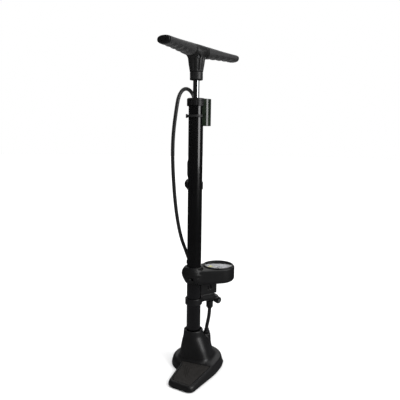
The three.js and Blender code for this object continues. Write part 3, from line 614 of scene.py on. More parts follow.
def tread_ridges(x, y):
    """Height of nested triangles that point at the toe."""
    corners = np.array([(-6, -46), (35, -42), (19, -92)], float)
    inside = -1e3
    for i in range(3):
        a, b = corners[i], corners[(i + 1) % 3]
        along = (b - a) / np.linalg.norm(b - a)
        inside = np.maximum(inside, (y - a[1]) * along[0] - (x - a[0]) * along[1])
    return np.where(inside < 0.6, eased(0.5 + 1.1 * np.cos((inside + 1.8) * 2 * math.pi / 3.9)), 0)


def tread_field(x, y, z):
    edge = polygon(OUTLINE, x, y)
    flat = both(edge + TREAD_INSET, y - TREAD_NEAR, 3)
    lift = 0.2 + 1.15 * tread_ridges(x, y)
    crown = 0.5 * eased((-flat - 1) / 6)
    above = z - plate_top(y, PLATE["top"] - 0.3) - lift - crown
    return both(both(flat, above, 0.8), plate_top(y, 19.2) - z, 0.5)


FEET = [(0, 0), (11, -98), (-30, 38), (50, 28)]
FOOT_NAMES = ["foot_pad_hub", "foot_pad_toe", "foot_pad_left", "foot_pad_right"]


def make_base():
    skin("base_body", "base_shell", base_field, 0.9, "satin_black")
    skin("foot_tread", "tread_insert", tread_field, 0.6, "tread")
    rings = [
        (0, 0.4), (3, 0.4), (3.6, 0), (6.4, 0), (7, 0.5), (8.4, 0.5), (9, 0),
        (13.6, 0), (15, 1.3), (15, 4), (0, 4),
    ]
    for name, (x, y) in zip(FOOT_NAMES, FEET):
        foot = lathe(name + "_skin", rings, 0.3, 64, at=(x, y))
        done(foot, "rubber", "pump_frame", name)


# ---------------------------------------------------------------- barrel and its closures

def make_barrel():
    low, high = span("barrel_tube")
    r = high[0]
    wall = [(r - 1.2, low[2]), (r, low[2]), (r, high[2]), (r - 1.2, high[2])]
    tube = lathe("barrel_skin", wall, 0.3, 128, closed=True)
    done(tube, "gloss_black", "pump_frame", "barrel_tube")

    low, high = span("barrel_cap")
    r, bottom, top = high[0], low[2], high[2]

    def castle(angle, radius, z):
        wave = eased((np.cos(angle * 12) - 0.45) / 0.3)
        deep = eased((radius - (r - 1.6)) / 0.6) * eased((top - 3.6 - z) / 1.2)
        return radius - 1.3 * wave * deep

    wall = [(bottom + i * (top - 3 - bottom) / 14) for i in range(15)]
    cap = lathe("barrel_cap_skin", [
        (8.9, 600.4, 0.3), (8.9, top, 0.6), (r - 3.4, top, 0.5), (r - 3.2, top - 0.6, 0.3),
        (r - 2.2, top - 0.6, 0.3), (r - 2.0, top, 0.4), (r - 1.2, top, 0.8),
        (r, top - 1.6, 0.8), *[(r, z, 0) for z in wall[::-1]],
        (r - 0.9, bottom, 0.4), (16.3, bottom, 0.3), (16.3, 600.4, 0.3),
    ], 0.4, 288, closed=True, shape=castle)
    done(cap, "satin_black", "pump_frame", "barrel_cap")
    wiper = lathe("rod_wiper_skin", [
        (7.3, 600.4), (8.6, 600.4), (8.6, top - 0.4), (7.9, top - 0.4), (7.5, top - 1.6), (7.3, top - 1.4),
    ], 0.3, 64, closed=True)
    done(wiper, "rubber", "pump_frame", "rod_wiper")


# ---------------------------------------------------------------- outlet fitting and feed hose

def make_outlet():
    def hexagon(angle, r, z):
        flats = r * 0.93 / np.cos((angle + math.pi / 6) % (math.pi / 3) - math.pi / 6)
        here = (z > 69.2) & (z < 74) & (r > 6.4)
        return np.where(here, np.minimum(flats, 7.6), r)

    fitting = lathe("outlet_fitting_skin", [
        (2, 61), (6.2, 61), (6.2, 69.4, 0.2), (7.2, 69.4, 0.3), (7.6, 69.8, 0.2), (7.6, 73.4, 0.2),
        (7.0, 73.9, 0.3), (5.6, 75), (5.6, 78.4), (5.1, 80.2), (2, 80.2),
    ], 0.4, 96, closed=True, shape=hexagon, at=(PORT_X, 0), bearing=ARM)
    done(fitting, "satin_black", "pump_frame", "outlet_fitting")

    stations = [(36, 80.6), (36.1, 84), (37.8, 92), (40.2, 102), (41.9, 112), (42.8, 121), (FEED_X, 128.4)]
    route = spline([(x, 0, z) for x, z in stations], 8)
    hose = swept("feed_hose_skin", route, 4.2, 32, bearing=ARM)
    done(hose, "rubber", "pump_frame", "feed_hose")

    def ribs(angle, r, z):
        deep = eased((r - 5.6) / 1.0) * eased((z - 131) / 2) * eased((145 - z) / 2)
        return r - 0.45 * deep * (0.5 - 0.5 * np.cos(angle * 18))

    wall = [(8.0 + 0.3 * i / 10, 132.5 + 1.38 * i, 0) for i in range(11)]
    nut = lathe("feed_ferrule_skin", [
        (2, 129), (5.2, 129), (5.8, 130), *wall, (7.6, 146.6), (2, 146.6),
    ], 0.4, 144, closed=True, shape=ribs, at=(FEED_X, 0), bearing=ARM)
    done(nut, "satin_black", "pump_frame", "feed_ferrule")


# ---------------------------------------------------------------- gauge

GAUGE = dict(x=65.0, r=38.0, bottom=194.5, top=229.0, bore=33.8, floor=207.0)
COLLAR = dict(r=20.4, bottom=196.0, top=236.0, bore=16.3)
LOBE_X, LOBE_Z = 62.5, 146.5


def teardrop(x, y, small, big):
    """Distance to the outline round the barrel and the gauge: two circles and their common tangents."""
    across, reach = np.abs(y), GAUGE["x"]
    lean = (small - big) / reach
    straight = math.sqrt(1 - lean * lean)
    along = across * -lean + x * straight
    near, far = circle(x, y, small), circle(x - reach, y, big)
    side = across * straight + x * lean - small
    return np.where(along < 0, near, np.where(along > straight * reach, far, side))


def gauge_field(x, y, z):
    g, c = GAUGE, COLLAR
    outline = teardrop(x, y, c["r"], g["r"])
    under = prism(outline, z, g["bottom"], g["top"] + 20, 8.5)
    shell = np.maximum(under, prism(outline, z, g["bottom"] - 20, g["top"], 2.2))
    shell = either(shell, prism(circle(x, y, c["r"]), z, c["bottom"], c["top"], 1.4), 2.5)
    shell = either(shell, prism(circle(x - 2.2, y - 25, 8), z, 203, 236, 1.0), 3)
    shell = either(shell, block(x, y, z, (12, -10, 167), (56, 10, 200), 1.6), 2.5)
    for side in (-1, 1):
        low, high = sorted((side * 12, side * 22.5))
        shell = either(shell, block(x, y, z, (-2.5, low, 204), (12, high, 220), 1.5), 2)
        screw_at = np.sqrt((y - side * 18.4) ** 2 + (z - 212) ** 2)
        shell = less(shell, prism(screw_at - 1.9, x, -6, 14, 0.2), 0.4)
    for sx in (32, 39):
        shell = less(shell, block(x, y, z, (sx - 1.8, -14, 178), (sx + 1.8, -7.5, 187), 0.6), 0.7)
        shell = less(shell, block(x, y, z, (sx - 1.8, 7.5, 178), (sx + 1.8, 14, 187), 0.6), 0.7)
    shell = less(shell, prism(circle(x - g["x"], y, g["bore"]), z, g["floor"], 280, 0.6), 0.8)
    shell = less(shell, prism(circle(x - g["x"] + 22, y, 6.3), z, 160, 250, 0.3), 0.6)
    shell = less(shell, circle(x, y, c["bore"]) + 0 * z, 0.8)
    shell = less(shell, prism(circle(x - 2.2, y - 25, 3), z, 215, 250, 0.3), 0.5)
    return both(shell, -0.5 - x, 0.8)


def clamp_field(x, y, z):
    heights = [196, 198, 206, 215, 221, 228, 235, 237]
    radii = [17.5, 19.0, 23.5, 27.4, 28.4, 26.6, 21.6, 19.5]
    bulge = (circle(x, y, 0) - np.interp(z.ravel(), heights, radii).reshape(z.shape)) * 0.85
    shell = both(bulge, slab(z, 198, 236), 2)
    shell = less(shell, circle(x, y, COLLAR["bore"]) + 0 * z, 0.8)
    for side in (-1, 1):
        way = np.sqrt((y - side * 18.4) ** 2 + (z - 212) ** 2)
        shell = less(shell, prism(way - 3.9, x, -60, -9, 0.3), 0.7)
        shell = less(shell, prism(way - 2.1, x, -20, 20, 0.2), 0.4)
    groove = slab(z, 213.6, 214.8)
    shell = less(shell, both(groove, -(bulge + 0.9), 0.3), 0.5)
    return both(shell, x + 0.8, 0.8)


def bracket_field(x, y, z):
    ring = prism(circle(x, y, 19.5), z, 147, 162, 1.6)
    plate = block(x, y, z, (10, -7.5, 150), (LOBE_X, 7.5, 159.5), 1.5)
    lobe_at = np.sqrt((x - LOBE_X) ** 2 + (z - LOBE_Z) ** 2)
    lobe = prism(lobe_at - 8.2, y, -8.5, 8.5, 1.2)
    post = block(x, y, z, (12, -8.5, 154), (52, 8.5, 166.6), 1.2)
    body = either(either(ring, plate, 4), either(lobe, post, 3), 2.5)
    body = less(body, both(lobe_at - 5.6, 7.6 - np.abs(y), 0.3), 0.5)
    body = less(body, circle(x, y, COLLAR["bore"]) + 0 * z, 0.8)
    body = less(body, circle(x - FEED_X, y, 3) + 0 * z, 0.5)
    body = less(body, prism(circle(x - FEED_X, y, 8.8), z, 120, 146.9, 0.3), 0.5)
    return less(body, lobe_at - 2.4 + 0 * y, 0.4)


SCALE_START, SCALE_SWEEP = 150, 270


def ticks():
    """Scale marks lying on the dial, in the dial's own axes, as point and face lists."""
    verts, faces = [], []
    for i in range(41):
        major = i % 5 == 0
        angle = math.radians(SCALE_START - i * SCALE_SWEEP / 40)
        inner, outer, half = (22.5 if major else 25.0), 27.5, (0.42 if major else 0.2)
        along = np.array((math.cos(angle), math.sin(angle)))
        across = np.array((-math.sin(angle), math.cos(angle)))
        start = len(verts)
        for z in (0.0, 0.08):
            for r, side in ((inner, -1), (outer, -1), (outer, 1), (inner, 1)):
                verts.append((*(along * r + across * side * half), z))
        quads = [(3, 2, 1, 0), (4, 5, 6, 7), (0, 1, 5, 4), (1, 2, 6, 5), (2, 3, 7, 6), (3, 0, 4, 7)]
        faces += [tuple(start + k for k in q) for q in quads]
    return np.array(verts), faces


def sector(inner, outer, start, end, bottom, top, steps=24):
    """A flat piece of a ring."""
    verts, faces = [], []
    for i in range(steps + 1):
        a = math.radians(start + (end - start) * i / steps)
        for r, z in ((inner, bottom), (outer, bottom), (outer, top), (inner, top)):
            verts.append((r * math.cos(a), r * math.sin(a), z))
    for i in range(steps):
        for j in range(4):
            k = (j + 1) % 4
            faces.append((i * 4 + j, i * 4 + k, i * 4 + 4 + k, i * 4 + 4 + j))
    faces += [(3, 2, 1, 0), tuple(steps * 4 + j for j in range(4))]
    return np.array(verts), faces


def dial_mark(name, verts, faces, finish, lift):
    low, high = span("dial_plate", ARM)
    centre = ((low + high) / 2)[:2]
    made = piece(name, verts + (*centre, high[2] + lift), faces, ARM, sharp=30, weld=True)
    return done(made, finish, "pump_frame", slot="dial")


def dial_number(text, angle):
    """One number of the scale, upright to a reader who faces along the gauge arm."""
    low, high = span("dial_plate", ARM)
    curve = bpy.data.curves.new("dial_number_" + text, "FONT")
    curve.body, curve.size, curve.align_x, curve.align_y = text, 5.0 * MM, "CENTER", "CENTER"
    curve.extrude = 0.03 * MM
    shape = link("dial_number_" + text, curve)
    depsgraph = bpy.context.evaluated_depsgraph_get()
    shape_mesh = bpy.data.meshes.new_from_object(shape.evaluated_get(depsgraph))
    bpy.data.objects.remove(shape)
    made = link("dial_number_" + text, shape_mesh)
    up = math.radians(ARM + 15 - 90)
    a = math.radians(ARM + angle)
    centre = Matrix.Rotation(math.radians(ARM), 4, "Z") @ Vector((*((low + high) / 2)[:2], 0))
    x, y = centre.x + 18.2 * math.cos(a), centre.y + 18.2 * math.sin(a)
    place = Matrix.Translation((x * MM, y * MM, (high[2] + 0.06) * MM))
    shape_mesh.transform(place @ Matrix.Rotation(up, 4, "Z"))
    return done(made, "dial_ink", "pump_frame", slot="dial")


def make_gauge():
    skin("gauge_housing", "gauge_shell", gauge_field, 0.75, "satin_black", bearing=ARM, margin=1)
    skin("gauge_clamp", "gauge_clamp_skin", clamp_field, 0.6, "satin_black", bearing=ARM)
    skin("hose_bracket", "hose_bracket_skin", bracket_field, 0.6, "satin_black", bearing=ARM)

    centre = (GAUGE["x"], 0)
    bezel = lathe("gauge_bezel_skin", [
        (32.3, 224), (33.5, 224), (33.5, 229.6, 0.2), (35.8, 229.6, 0.3), (35.4, 231.0, 0.7),
        (33.6, 231.6, 0.6), (32.1, 231.2, 0.4), (32.3, 229.4),
    ], 0.3, 160, closed=True, at=centre, bearing=ARM)
    done(bezel, "satin_black", "pump_frame", "gauge_bezel")
    dome = [(32 * math.sin(t), 229.0 + 2.8 * math.cos(t * 0.98) - 0.1) for t in np.linspace(0, 1.5, 12)]
    under = [(r, z - 2.1) for r, z in dome]
    lens = lathe("gauge_lens_skin", [
        (0, dome[0][1], 0), *[(r, z, 0) for r, z in dome[1:-1]], (32, 229.0, 0.3), (32, 226.8, 0.3),
        *[(r, z, 0) for r, z in under[-2:0:-1]], (0, under[0][1], 0),
    ], 0.3, 96, at=centre, bearing=ARM)
    done(lens, "lens", "pump_frame", "gauge_lens")
    low, high = span("dial_plate", ARM)
    plate = lathe("dial_plate_skin", [
        (1.8, low[2]), (31.5, low[2]), (31.5, high[2]), (1.8, high[2]),
    ], 0.15, 128, closed=True, at=centre, bearing=ARM)
    done(plate, "dial", "pump_frame", "dial_plate")
    verts, faces = ticks()
    dial_mark("dial_ticks", verts, faces, "dial_ink", 0.02)
    verts, faces = sector(27.6, 28.1, SCALE_START - SCALE_SWEEP, SCALE_START, 0, 0.08, 90)
    dial_mark("dial_scale_line", verts, faces, "dial_ink", 0.02)
    verts, faces = sector(13, 25, 104, 138, 0, 0.05)
    dial_mark("dial_yellow_zone", verts, faces, "dial_yellow", 0.0)
    for i in range(5):
        dial_number(str(40 * i), SCALE_START - i * SCALE_SWEEP / 4)

    def needle_field(x, y, z):
        c, s = math.cos(math.radians(SCALE_START)), math.sin(math.radians(SCALE_START))
        lx, ly = (x - GAUGE["x"]) * c + y * s, y * c - (x - GAUGE["x"]) * s
        hub = prism(circle(lx, ly, 3.1), z, 223, 225, 0.5)
        taper = np.abs(ly) - (0.95 - (lx + 9) * 0.018)
        bar = both(both(taper, slab(lx, -9, 25), 0.3), slab(z, 223.4, 224.3), 0.2)
        tail = prism(circle(lx + 8, ly, 1.8), z, 223.4, 224.3, 0.2)
        shaft = prism(circle(lx, ly, 1.3), z, 216, 224, 0.1)
        return either(either(hub, bar, 0.4), either(shaft, tail, 0.2), 0.2)

    skin("gauge_needle", "gauge_needle_skin", needle_field, 0.22, "needle", "needle", ARM, margin=1)


# ---------------------------------------------------------------- screws

def screw_head(name, radius, height, middle, facing, finish, body, *nodes, hexagon=False):
    """A pan head with a cross or hexagon recess, its seat at middle and its top looking along facing."""
    def field(x, y, z):
        sag = (x * x + y * y) / (radius * radius) * height * 0.35
        dome = both(circle(x, y, radius), z - height + sag, 0.5)
        dome = both(dome, -z, 0.2)
        if hexagon:
            flats = [np.abs(x * math.cos(a) + y * math.sin(a)) for a in (0, math.pi / 3, -math.pi / 3)]
            socket = np.maximum(np.maximum(flats[0], flats[1]), flats[2]) - radius * 0.5
            return less(dome, both(socket, height * 0.3 - z, 0.1), 0.15)
        arm = np.minimum(np.maximum(np.abs(x) - radius * 0.13, np.abs(y) - radius * 0.55),
                         np.maximum(np.abs(y) - radius * 0.13, np.abs(x) - radius * 0.55))
        return less(dome, both(arm, height * 0.35 - z, 0.1), 0.15)

    step = radius / 16
    made = moulded(name, field, (-radius, -radius, 0), (radius, radius, height), step)
    turn = Vector(facing).to_track_quat("Z", "Y").to_matrix().to_4x4()
    made.data.transform(Matrix.Translation(Vector(middle) * MM) @ turn)
    return done(made, finish, body, *nodes)


def on_bearing(x, y, z, bearing):
    c, s = math.cos(math.radians(bearing)), math.sin(math.radians(bearing))
    return (x * c - y * s, x * s + y * c, z)


def make_screws():
    back = on_bearing(-1, 0, 0, ARM)
    for i, side in enumerate((-1, 1)):
        at = on_bearing(-10.0, side * 18.4, 212, ARM)
        screw_head(f"clamp_screw_{i + 1}_head", 3.4, 3.0, at, back, "steel", "pump_frame")
    at = on_bearing(LOBE_X, -8.8, LOBE_Z, ARM)
    facing = on_bearing(0, -1, 0, ARM)
    screw_head("bracket_bolt_head", 4.2, 3.2, at, facing, "steel", "pump_frame", hexagon=True)
    facing = on_bearing(0, -1, 0, HANDLE)
    for i, x in enumerate((-10.5, 10.5)):
        at = on_bearing(x, -11.6, SCREW_Z, HANDLE)
        screw_head(f"handle_screw_{i + 1}_head", 3.4, 2.6, at, facing, "steel", "handle")


# ---------------------------------------------------------------- hose ferrule at the gauge

def make_hose_ferrule():
    foot = np.array(on_bearing(2.2, 25, 236.3, ARM))
    end = np.array(HOSE_ROUTE[-1]) / MM
    top = end + (0.7, 0.5, -3.2)
    t = [0, 0.02, 0.1, 0.28, 0.3, 0.36, 0.38, 0.5, 0.52, 0.58, 0.6, 0.74, 0.76, 0.82, 0.84, 0.97, 1.0]
    radii = [6.9, 7.4, 7.4, 7.2, 6.8, 6.8, 7.0, 6.7, 6.3, 6.3, 6.5, 6.1, 5.8, 5.8, 6.0, 5.6, 5.2]
    points = foot + np.array(t)[:, None] * (top - foot)
    ferrule = swept("hose_ferrule_gauge_skin", points, radii, 40)
    done(ferrule, "satin_black", "pump_frame", "hose_ferrule_gauge")


# ---------------------------------------------------------------- pump head, lever and dock

HEAD_Z = 419.5


def head_field(x, y, z):
    h = z - HEAD_Z
    round_x = np.sqrt(y * y + h * h)
    body = prism(round_x - 13, x, 23.5, 42, 2.2)
    waist = eased((x - 27) / 2) * eased((36 - x) / 2) * 0.7
    body = body + waist * eased((round_x - 8) / 3)
    neck = prism(circle(x - 30, y, 6.4 + 1.4 * eased((440 - z) / 16)), z, HEAD_Z, 445, 0.8)
    body = either(body, neck, 3)
    body = less(body, prism(round_x - 7.6, x, 10, 28, 0.4), 0.6)
    body = less(body, block(x, y, z, (31.6, -5.2, HEAD_Z - 20), (60, 5.2, HEAD_Z + 20), 0.4), 0.7)
    body = less(body, np.sqrt((x - 38.5) ** 2 + h * h) - 1.9 + 0 * y, 0.4)
    return body


def lever_field(x, y, z):
    hub_at = np.sqrt((x - 38.5) ** 2 + (z - HEAD_Z) ** 2)
    hub = prism(hub_at - 4.6, y, -4.6, 4.6, 0.6)
    arm = block(x, y, z, (37.6, -4.6, HEAD_Z), (42.4, 4.6, 438), 0.8)
    lean = np.interp(z.ravel(), [434, 468, 474.5, 476], [40, 40.4, 41.4, 41.8]).reshape(z.shape)
    half = np.interp(z.ravel(), [434, 440, 468, 476], [4.8, 6.6, 6.8, 4.6]).reshape(z.shape)
    thick = np.interp(z.ravel(), [434, 440, 466, 476], [2.4, 2.4, 2.3, 1.4]).reshape(z.shape)
    dish = 0.7 * eased((5.2 - np.abs(y)) / 3) * eased((z - 446) / 4) * eased((470 - z) / 4)
    ridges = 0.28 * np.cos(z * 2 * math.pi / 3.2) * eased((z - 449) / 2) * eased((467 - z) / 2)
    ridges = ridges * eased((5 - np.abs(y)) / 1.5)
    flat = both(np.abs(x - lean) - thick + np.where(x > lean, dish - ridges, 0), np.abs(y) - half, 1.6)
    paddle = both(flat, slab(z, 434.5, 476), 1.8)
    body = either(either(hub, arm, 1.2), paddle, 1.5)
    return less(body, hub_at - 1.9 + 0 * y, 0.4)


def dock_field(x, y, z):
    band = prism(np.abs(circle(x, y, 17.2)) - 0.9, z, 411, 428, 0.7)
    band = both(band, -2.5 - x, 0.6)
    round_x = np.sqrt(y * y + (z - HEAD_Z) ** 2)
    peg = either(prism(round_x - 3.6, x, 16.6, 27.4, 0.6), prism(round_x - 6, x, 16.6, 20.2, 0.5), 0.8)
    return either(band, peg, 1.0)


def make_head():
    skin("head_body", "head_body_skin", head_field, 0.5, "satin_black", bearing=HEAD, margin=2)

    def knurl(angle, r, z):
        deep = eased((r - 10.6) / 0.5)
        return r - 0.35 * deep * (0.5 - 0.5 * np.cos(angle * 30))

    cap = lathe("head_cap_skin", [
        (5.2, 20.6), (10.8, 20.6), (11.6, 21.2), (11.6, 22.6), (10.8, 23.2), (5.2, 23.2),
    ], 0.3, 180, closed=True, shape=knurl)
    turn = Matrix.Rotation(math.radians(HEAD), 4, "Z") @ Matrix.Translation((0, 0, HEAD_Z * MM))
    cap.data.transform(turn @ Matrix.Rotation(math.radians(90), 4, "Y"))
    done(cap, "satin_black", "pump_frame", "head_cap")

    skin("head_lever", "head_lever_skin", lever_field, 0.4, "satin_black", "lever", HEAD)
    skin("head_dock", "head_dock_skin", dock_field, 0.45, "satin_black", bearing=HEAD)
    ferrule = lathe("head_ferrule_skin", [
        (0, 445.3), (6.4, 445.3), (6.4, 448.6), (6.0, 449.0), (6.0, 450.2), (6.2, 450.6), (5.8, 453.4),
        (5.5, 453.8), (5.5, 454.8), (5.6, 455.2), (5.2, 458.2), (0, 458.2),
    ], 0.3, 64, at=(30, 0), bearing=HEAD)
    done(ferrule, "satin_black", "pump_frame", "head_ferrule")
    pin = lathe("lever_pin_skin", [(0, -9.5), (1.6, -9.5), (1.6, 9.5), (0, 9.5)], 0.4, 32)
    place = Matrix.Rotation(math.radians(HEAD), 4, "Z") @ Matrix.Translation((38.5 * MM, 0, HEAD_Z * MM))
    pin.data.transform(place @ Matrix.Rotation(math.radians(90), 4, "X"))
    done(pin, "steel", "pump_frame", "lever_pin")


# ---------------------------------------------------------------- handle and rod

HANDLE_Z, HANDLE_HALF, SWEEP, CORE_HALF, KINK = 706.5, 124.5, math.radians(8.7), 25.0, 18.0
SCREW_Z = 692.0


def handle_line(x, y):
    """Distance along the swept centre line, and across it."""
    reach = np.abs(x) - KINK
    bent = eased((np.abs(x) - KINK + 7) / 14)
    along = KINK + reach * math.cos(SWEEP) - y * math.sin(SWEEP)
    across = reach * math.sin(SWEEP) + y * math.cos(SWEEP)
    return np.abs(x) + (along - np.abs(x)) * bent, y + (across - y) * bent


def bar(along, across, up, widths, heights, squareness=2.5):
    """A bar of rounded section, with its half widths read along it."""
    a = np.interp(along.ravel(), *widths).reshape(along.shape) / 2
    b = np.interp(along.ravel(), *heights).reshape(along.shape) / 2
    n = squareness
    ratio = (np.abs(across / a) ** n + np.abs(up / b) ** n) ** (1 / n)
    return (ratio - 1) * np.minimum(a, b)


def grip_bar(x, y, z):
    along, across = handle_line(x, y)
    up = z - HANDLE_Z
    groove = 0.5 - 0.5 * np.cos((along - 38) / 19 * 2 * math.pi)
    finger = groove * eased((along - 36) / 6) * eased((110 - along) / 6)
    below = eased((-up - 2) / 6)
    stations = [25, 45, 75, 100, 124]
    widths, heights = [34.5, 32.5, 31, 30.6, 30.2], [24.6, 22.6, 19, 17, 16]
    plain = bar(along, across, up, (stations, widths), (stations, heights))
    return along, plain + 1.2 * finger * below


def grip_field(side):
    def field(x, y, z):
        along, whole = grip_bar(x, y, z)
        body = both(whole, slab(along, CORE_HALF + 0.4, HANDLE_HALF - 6), 1.0)
        return np.maximum(body, -side * x)
    return field


def cap_field(side):
    def field(x, y, z):
        along, across = handle_line(x, y)
        up = z - HANDLE_Z
        whole = bar(along, across, up, ([100, 125], [30, 28.8]), ([100, 125], [16.2, 15]))
        body = both(whole, slab(along, HANDLE_HALF - 5.7, HANDLE_HALF - 0.1), 3.2)
        ring = np.abs(whole + 4.2) - 0.5
        body = less(body, both(ring, HANDLE_HALF - 0.9 - along, 0.2), 0.5)
        return np.maximum(body, -side * x)
    return field


def core_field(x, y, z):
    along, across = handle_line(x, y)
    up = z - HANDLE_Z
    stations = [0, 12, 18, 25]
    middle = bar(along, across, up, (stations, [38, 37, 35.5, 34]), (stations, [25, 25, 24.8, 24.4]))
    middle = both(middle, along - CORE_HALF, 0.8)
    radius = np.interp(z.ravel(), [645, 661, 665, 680, 690, 704], [14, 14, 14.8, 17.4, 18.6, 18.6])
    radius = radius.reshape(z.shape)
    angle = np.arctan2(y, x)
    flute = 0.5 - 0.5 * np.cos(angle * 10)
    deep = eased((z - 663) / 4) * eased((697 - z) / 7)
    neck = (circle(x, y, 0) - radius + 1.6 * (flute ** 3) * deep) * 0.97
    neck = both(neck, slab(z, 646.5, 702), 1.0)
    collar_line = both(np.abs(z - 662.4) - 0.5, -(circle(x, y, 12.9)) - 0 * z, 0.2)
    body = either(middle, neck, 7)
    body = less(body, collar_line, 0.5)
    body = less(body, prism(circle(x, y, 7.3), z, 600, 712.4, 0.3), 0.6)
    for sx in (-10.5, 10.5):
        way = np.sqrt((x - sx) ** 2 + (z - SCREW_Z) ** 2)
        body = less(body, prism(way - 3.9, y, -60, -11, 0.3), 0.8)
    return body


def make_handle():
    low, high = span("handle_core", HANDLE)
    low[0], high[0] = -27, 27
    core = moulded("handle_core_skin", core_field, low - 4, high + 4, 0.6, HANDLE)
    done(core, "handle_grey", "handle", "handle_core")
    for side, name in ((-1, "near"), (1, "far")):
        node = "grip_" + name
        skin(node, node + "_skin", grip_field(side), 0.7, "grip", "handle", HANDLE, 1)
        node = "end_cap_" + name
        skin(node, node + "_skin", cap_field(side), 0.5, "satin_black", "handle", HANDLE, 1)
    low, high = span("rod")
    r = (high[0] - low[0]) / 2
    rod = lathe("rod_skin", [(5.7, low[2]), (r, low[2]), (r, high[2]), (5.7, high[2])], 0.3, 96, closed=True)
    done(rod, "chrome", "handle", "rod")


# ---------------------------------------------------------------- hang card

CARD_LINE = [
    (16.2, -5.2), (20.2, -3.6), (26, 1), (29.5, 9), (27.5, 18), (20.5, 22.6), (12.5, 20.6), (6.8, 17.4),
]


def make_card():
    low, high = span("hang_card")
    line = spline([(x, y, 0) for x, y in CARD_LINE], 12)[:, :2]
    length = np.concatenate([[0], np.cumsum(np.linalg.norm(np.diff(line, axis=0), axis=1))])
    along = np.linspace(0, length[-1], 90)
    line = np.column_stack([np.interp(along, length, line[:, 0]), np.interp(along, length, line[:, 1])])
    tangent = np.gradient(line, axis=0)
    tangent /= np.linalg.norm(tangent, axis=1)[:, None]
    out = np.column_stack([tangent[:, 1], -tangent[:, 0]])
    rows = np.linspace(low[2], high[2], 60)
    verts, faces = [], []
    for side in (0.36, -0.36):
        for z in rows:
            verts += [(*(p + o * side), z) for p, o in zip(line, out)]
    n, m = len(line), len(rows)
    for j in range(m - 1):
        for i in range(n - 1):
            a = j * n + i
            faces.append((a, a + 1, a + n + 1, a + n))
            b = a + n * m
            faces.append((b, b + n, b + n + 1, b + 1))
    rim = [j * n for j in range(m)][::-1] + list(range(1, n)) + [j * n + n - 1 for j in range(1, m)]
    rim += [(m - 1) * n + i for i in range(n - 2, 0, -1)]
    for i, a in enumerate(rim):
        b = rim[(i + 1) % len(rim)]
        faces.append((a, a + n * m, b + n * m, b))
    card = piece("hang_card_skin", verts, faces, sharp=50, weld=True)
    done(card, "card", "pump_frame", "hang_card")


make_base()
make_barrel()
make_outlet()
make_gauge()
make_screws()
make_hose_ferrule()
make_head()
make_handle()
make_card()

# ---------------------------------------------------------------- CAD nodes that stay as they are

CARRIED = {
    "steel": ["barrel_plug", "barrel_bolt", "valve_spring", "clamp_screw_1", "clamp_screw_2", "bracket_bolt",
              "handle_screw_1", "handle_screw_2", "rod_plug", "piston_bolt"],
    "rubber": ["plug_seal", "valve_poppet", "valve_seal", "piston_bumper", "piston_seal"],
    "brass": ["valve_seat", "gauge_socket", "bourdon_tube"],
    "white_plastic": ["rod_bush", "piston"],
    "satin_black": ["card_tie"],
}
for finish, names in CARRIED.items():
    for name in names:
        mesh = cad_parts[name].data
        mesh.materials.clear()
        mesh.materials.append(FINISH[finish])

# ---------------------------------------------------------------- floor and light

def ground(name, inner, outer, material, seen_in_gloss):
    """A flat ring of floor, or a disc where inner is 0."""
    verts, faces = [], []
    count = 96
    turns = [2 * math.pi * i / count for i in range(count)]
    for r in (inner, outer):
        verts += [(r * math.cos(a), r * math.sin(a), 0) for a in turns]
    if inner:
        faces = [(i, (i + 1) % count, count + (i + 1) % count, count + i) for i in range(count)]
        faces = [f[::-1] for f in faces]
    else:
        faces = [tuple(range(count, 2 * count))]
    made = piece(name, np.array(verts) / MM, faces)
    made.data.materials.append(material)
    made.visible_glossy = seen_in_gloss


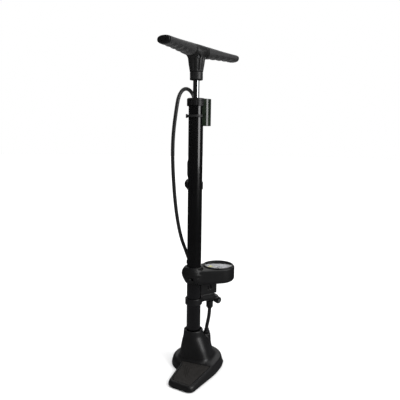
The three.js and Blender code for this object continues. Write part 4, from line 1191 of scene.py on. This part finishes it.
def make_stage():
    n = Nodes("floor")
    tone = n.make("ShaderNodeMix", data_type="RGBA")
    n.wire(n.make("ShaderNodeLightPath").outputs["Is Glossy Ray"], tone.inputs["Factor"])
    n.wire(n.ramp(n.noise(3, 2), (0.3, 0.88), (0.7, 0.9)), tone.inputs["A"])
    tone.inputs["B"].default_value = (0.07, 0.07, 0.075, 1)
    n.set(Base_Color=tone.outputs["Result"], Roughness=0.9, Specular_IOR_Level=0.1)
    ground("floor_near", 0, 0.5, n.material, True)
    ground("floor_far", 0.5, 14, n.material, False)

    world = bpy.data.worlds.new("studio")
    bpy.context.scene.world = world
    world.use_nodes = True
    tree = world.node_tree
    tree.nodes.clear()
    out = tree.nodes.new("ShaderNodeOutputWorld")
    seen, dull = tree.nodes.new("ShaderNodeMixShader"), tree.nodes.new("ShaderNodeMixShader")
    path = tree.nodes.new("ShaderNodeLightPath")
    plain, room, dark = [tree.nodes.new("ShaderNodeBackground") for _ in range(3)]
    for node, strength in ((plain, 1.0), (room, 1.25), (dark, 0.03)):
        node.inputs["Color"].default_value, node.inputs["Strength"].default_value = (1, 1, 1, 1), strength
    tree.links.new(path.outputs["Is Glossy Ray"], dull.inputs["Fac"])
    tree.links.new(room.outputs[0], dull.inputs[1])
    tree.links.new(dark.outputs[0], dull.inputs[2])
    tree.links.new(path.outputs["Is Camera Ray"], seen.inputs["Fac"])
    tree.links.new(dull.outputs[0], seen.inputs[1])
    tree.links.new(plain.outputs[0], seen.inputs[2])
    tree.links.new(seen.outputs[0], out.inputs["Surface"])


def from_camera(bearing, distance, height):
    """A place at an angle to the right of the camera's side of the object."""
    turn = math.radians(CAMERA_BEARING + bearing)
    return Vector((math.sin(turn), -math.cos(turn), 0)) * distance + Vector((0, 0, height))


def lamp(name, kind, at, aim, energy):
    data = bpy.data.lights.new(name, kind)
    data.energy = energy
    light = link(name, data)
    light.location = at
    light.rotation_mode = "QUATERNION"
    light.rotation_quaternion = (at - Vector((0, 0, aim))).to_track_quat("Z", "Y")
    return light


def softbox(name, bearing, distance, height, size, aim, radiance):
    """A panel that is seen only in reflections."""
    power = radiance * math.pi * size[0] * size[1]
    light = lamp(name, "AREA", from_camera(bearing, distance, height), aim, power)
    light.data.shape, light.data.size, light.data.size_y = "RECTANGLE", size[0], size[1]
    light.visible_diffuse = False
    return light


make_stage()
sun = lamp("sun", "SUN", from_camera(60, 2, 1.9), 0, 1.3)
sun.data.angle = math.radians(25)
sun.visible_glossy = False
softbox("key_panel", 58, 2.2, 1.4, (1.3, 2.0), 0.5, 5.0)
softbox("back_panel", 180, 2.2, 1.5, (3.0, 1.4), 0.1, 0.9)
softbox("top_panel", 100, 0.8, 2.6, (1.6, 1.6), 0.3, 1.5)
bpy.context.scene.view_settings.view_transform = "Standard"
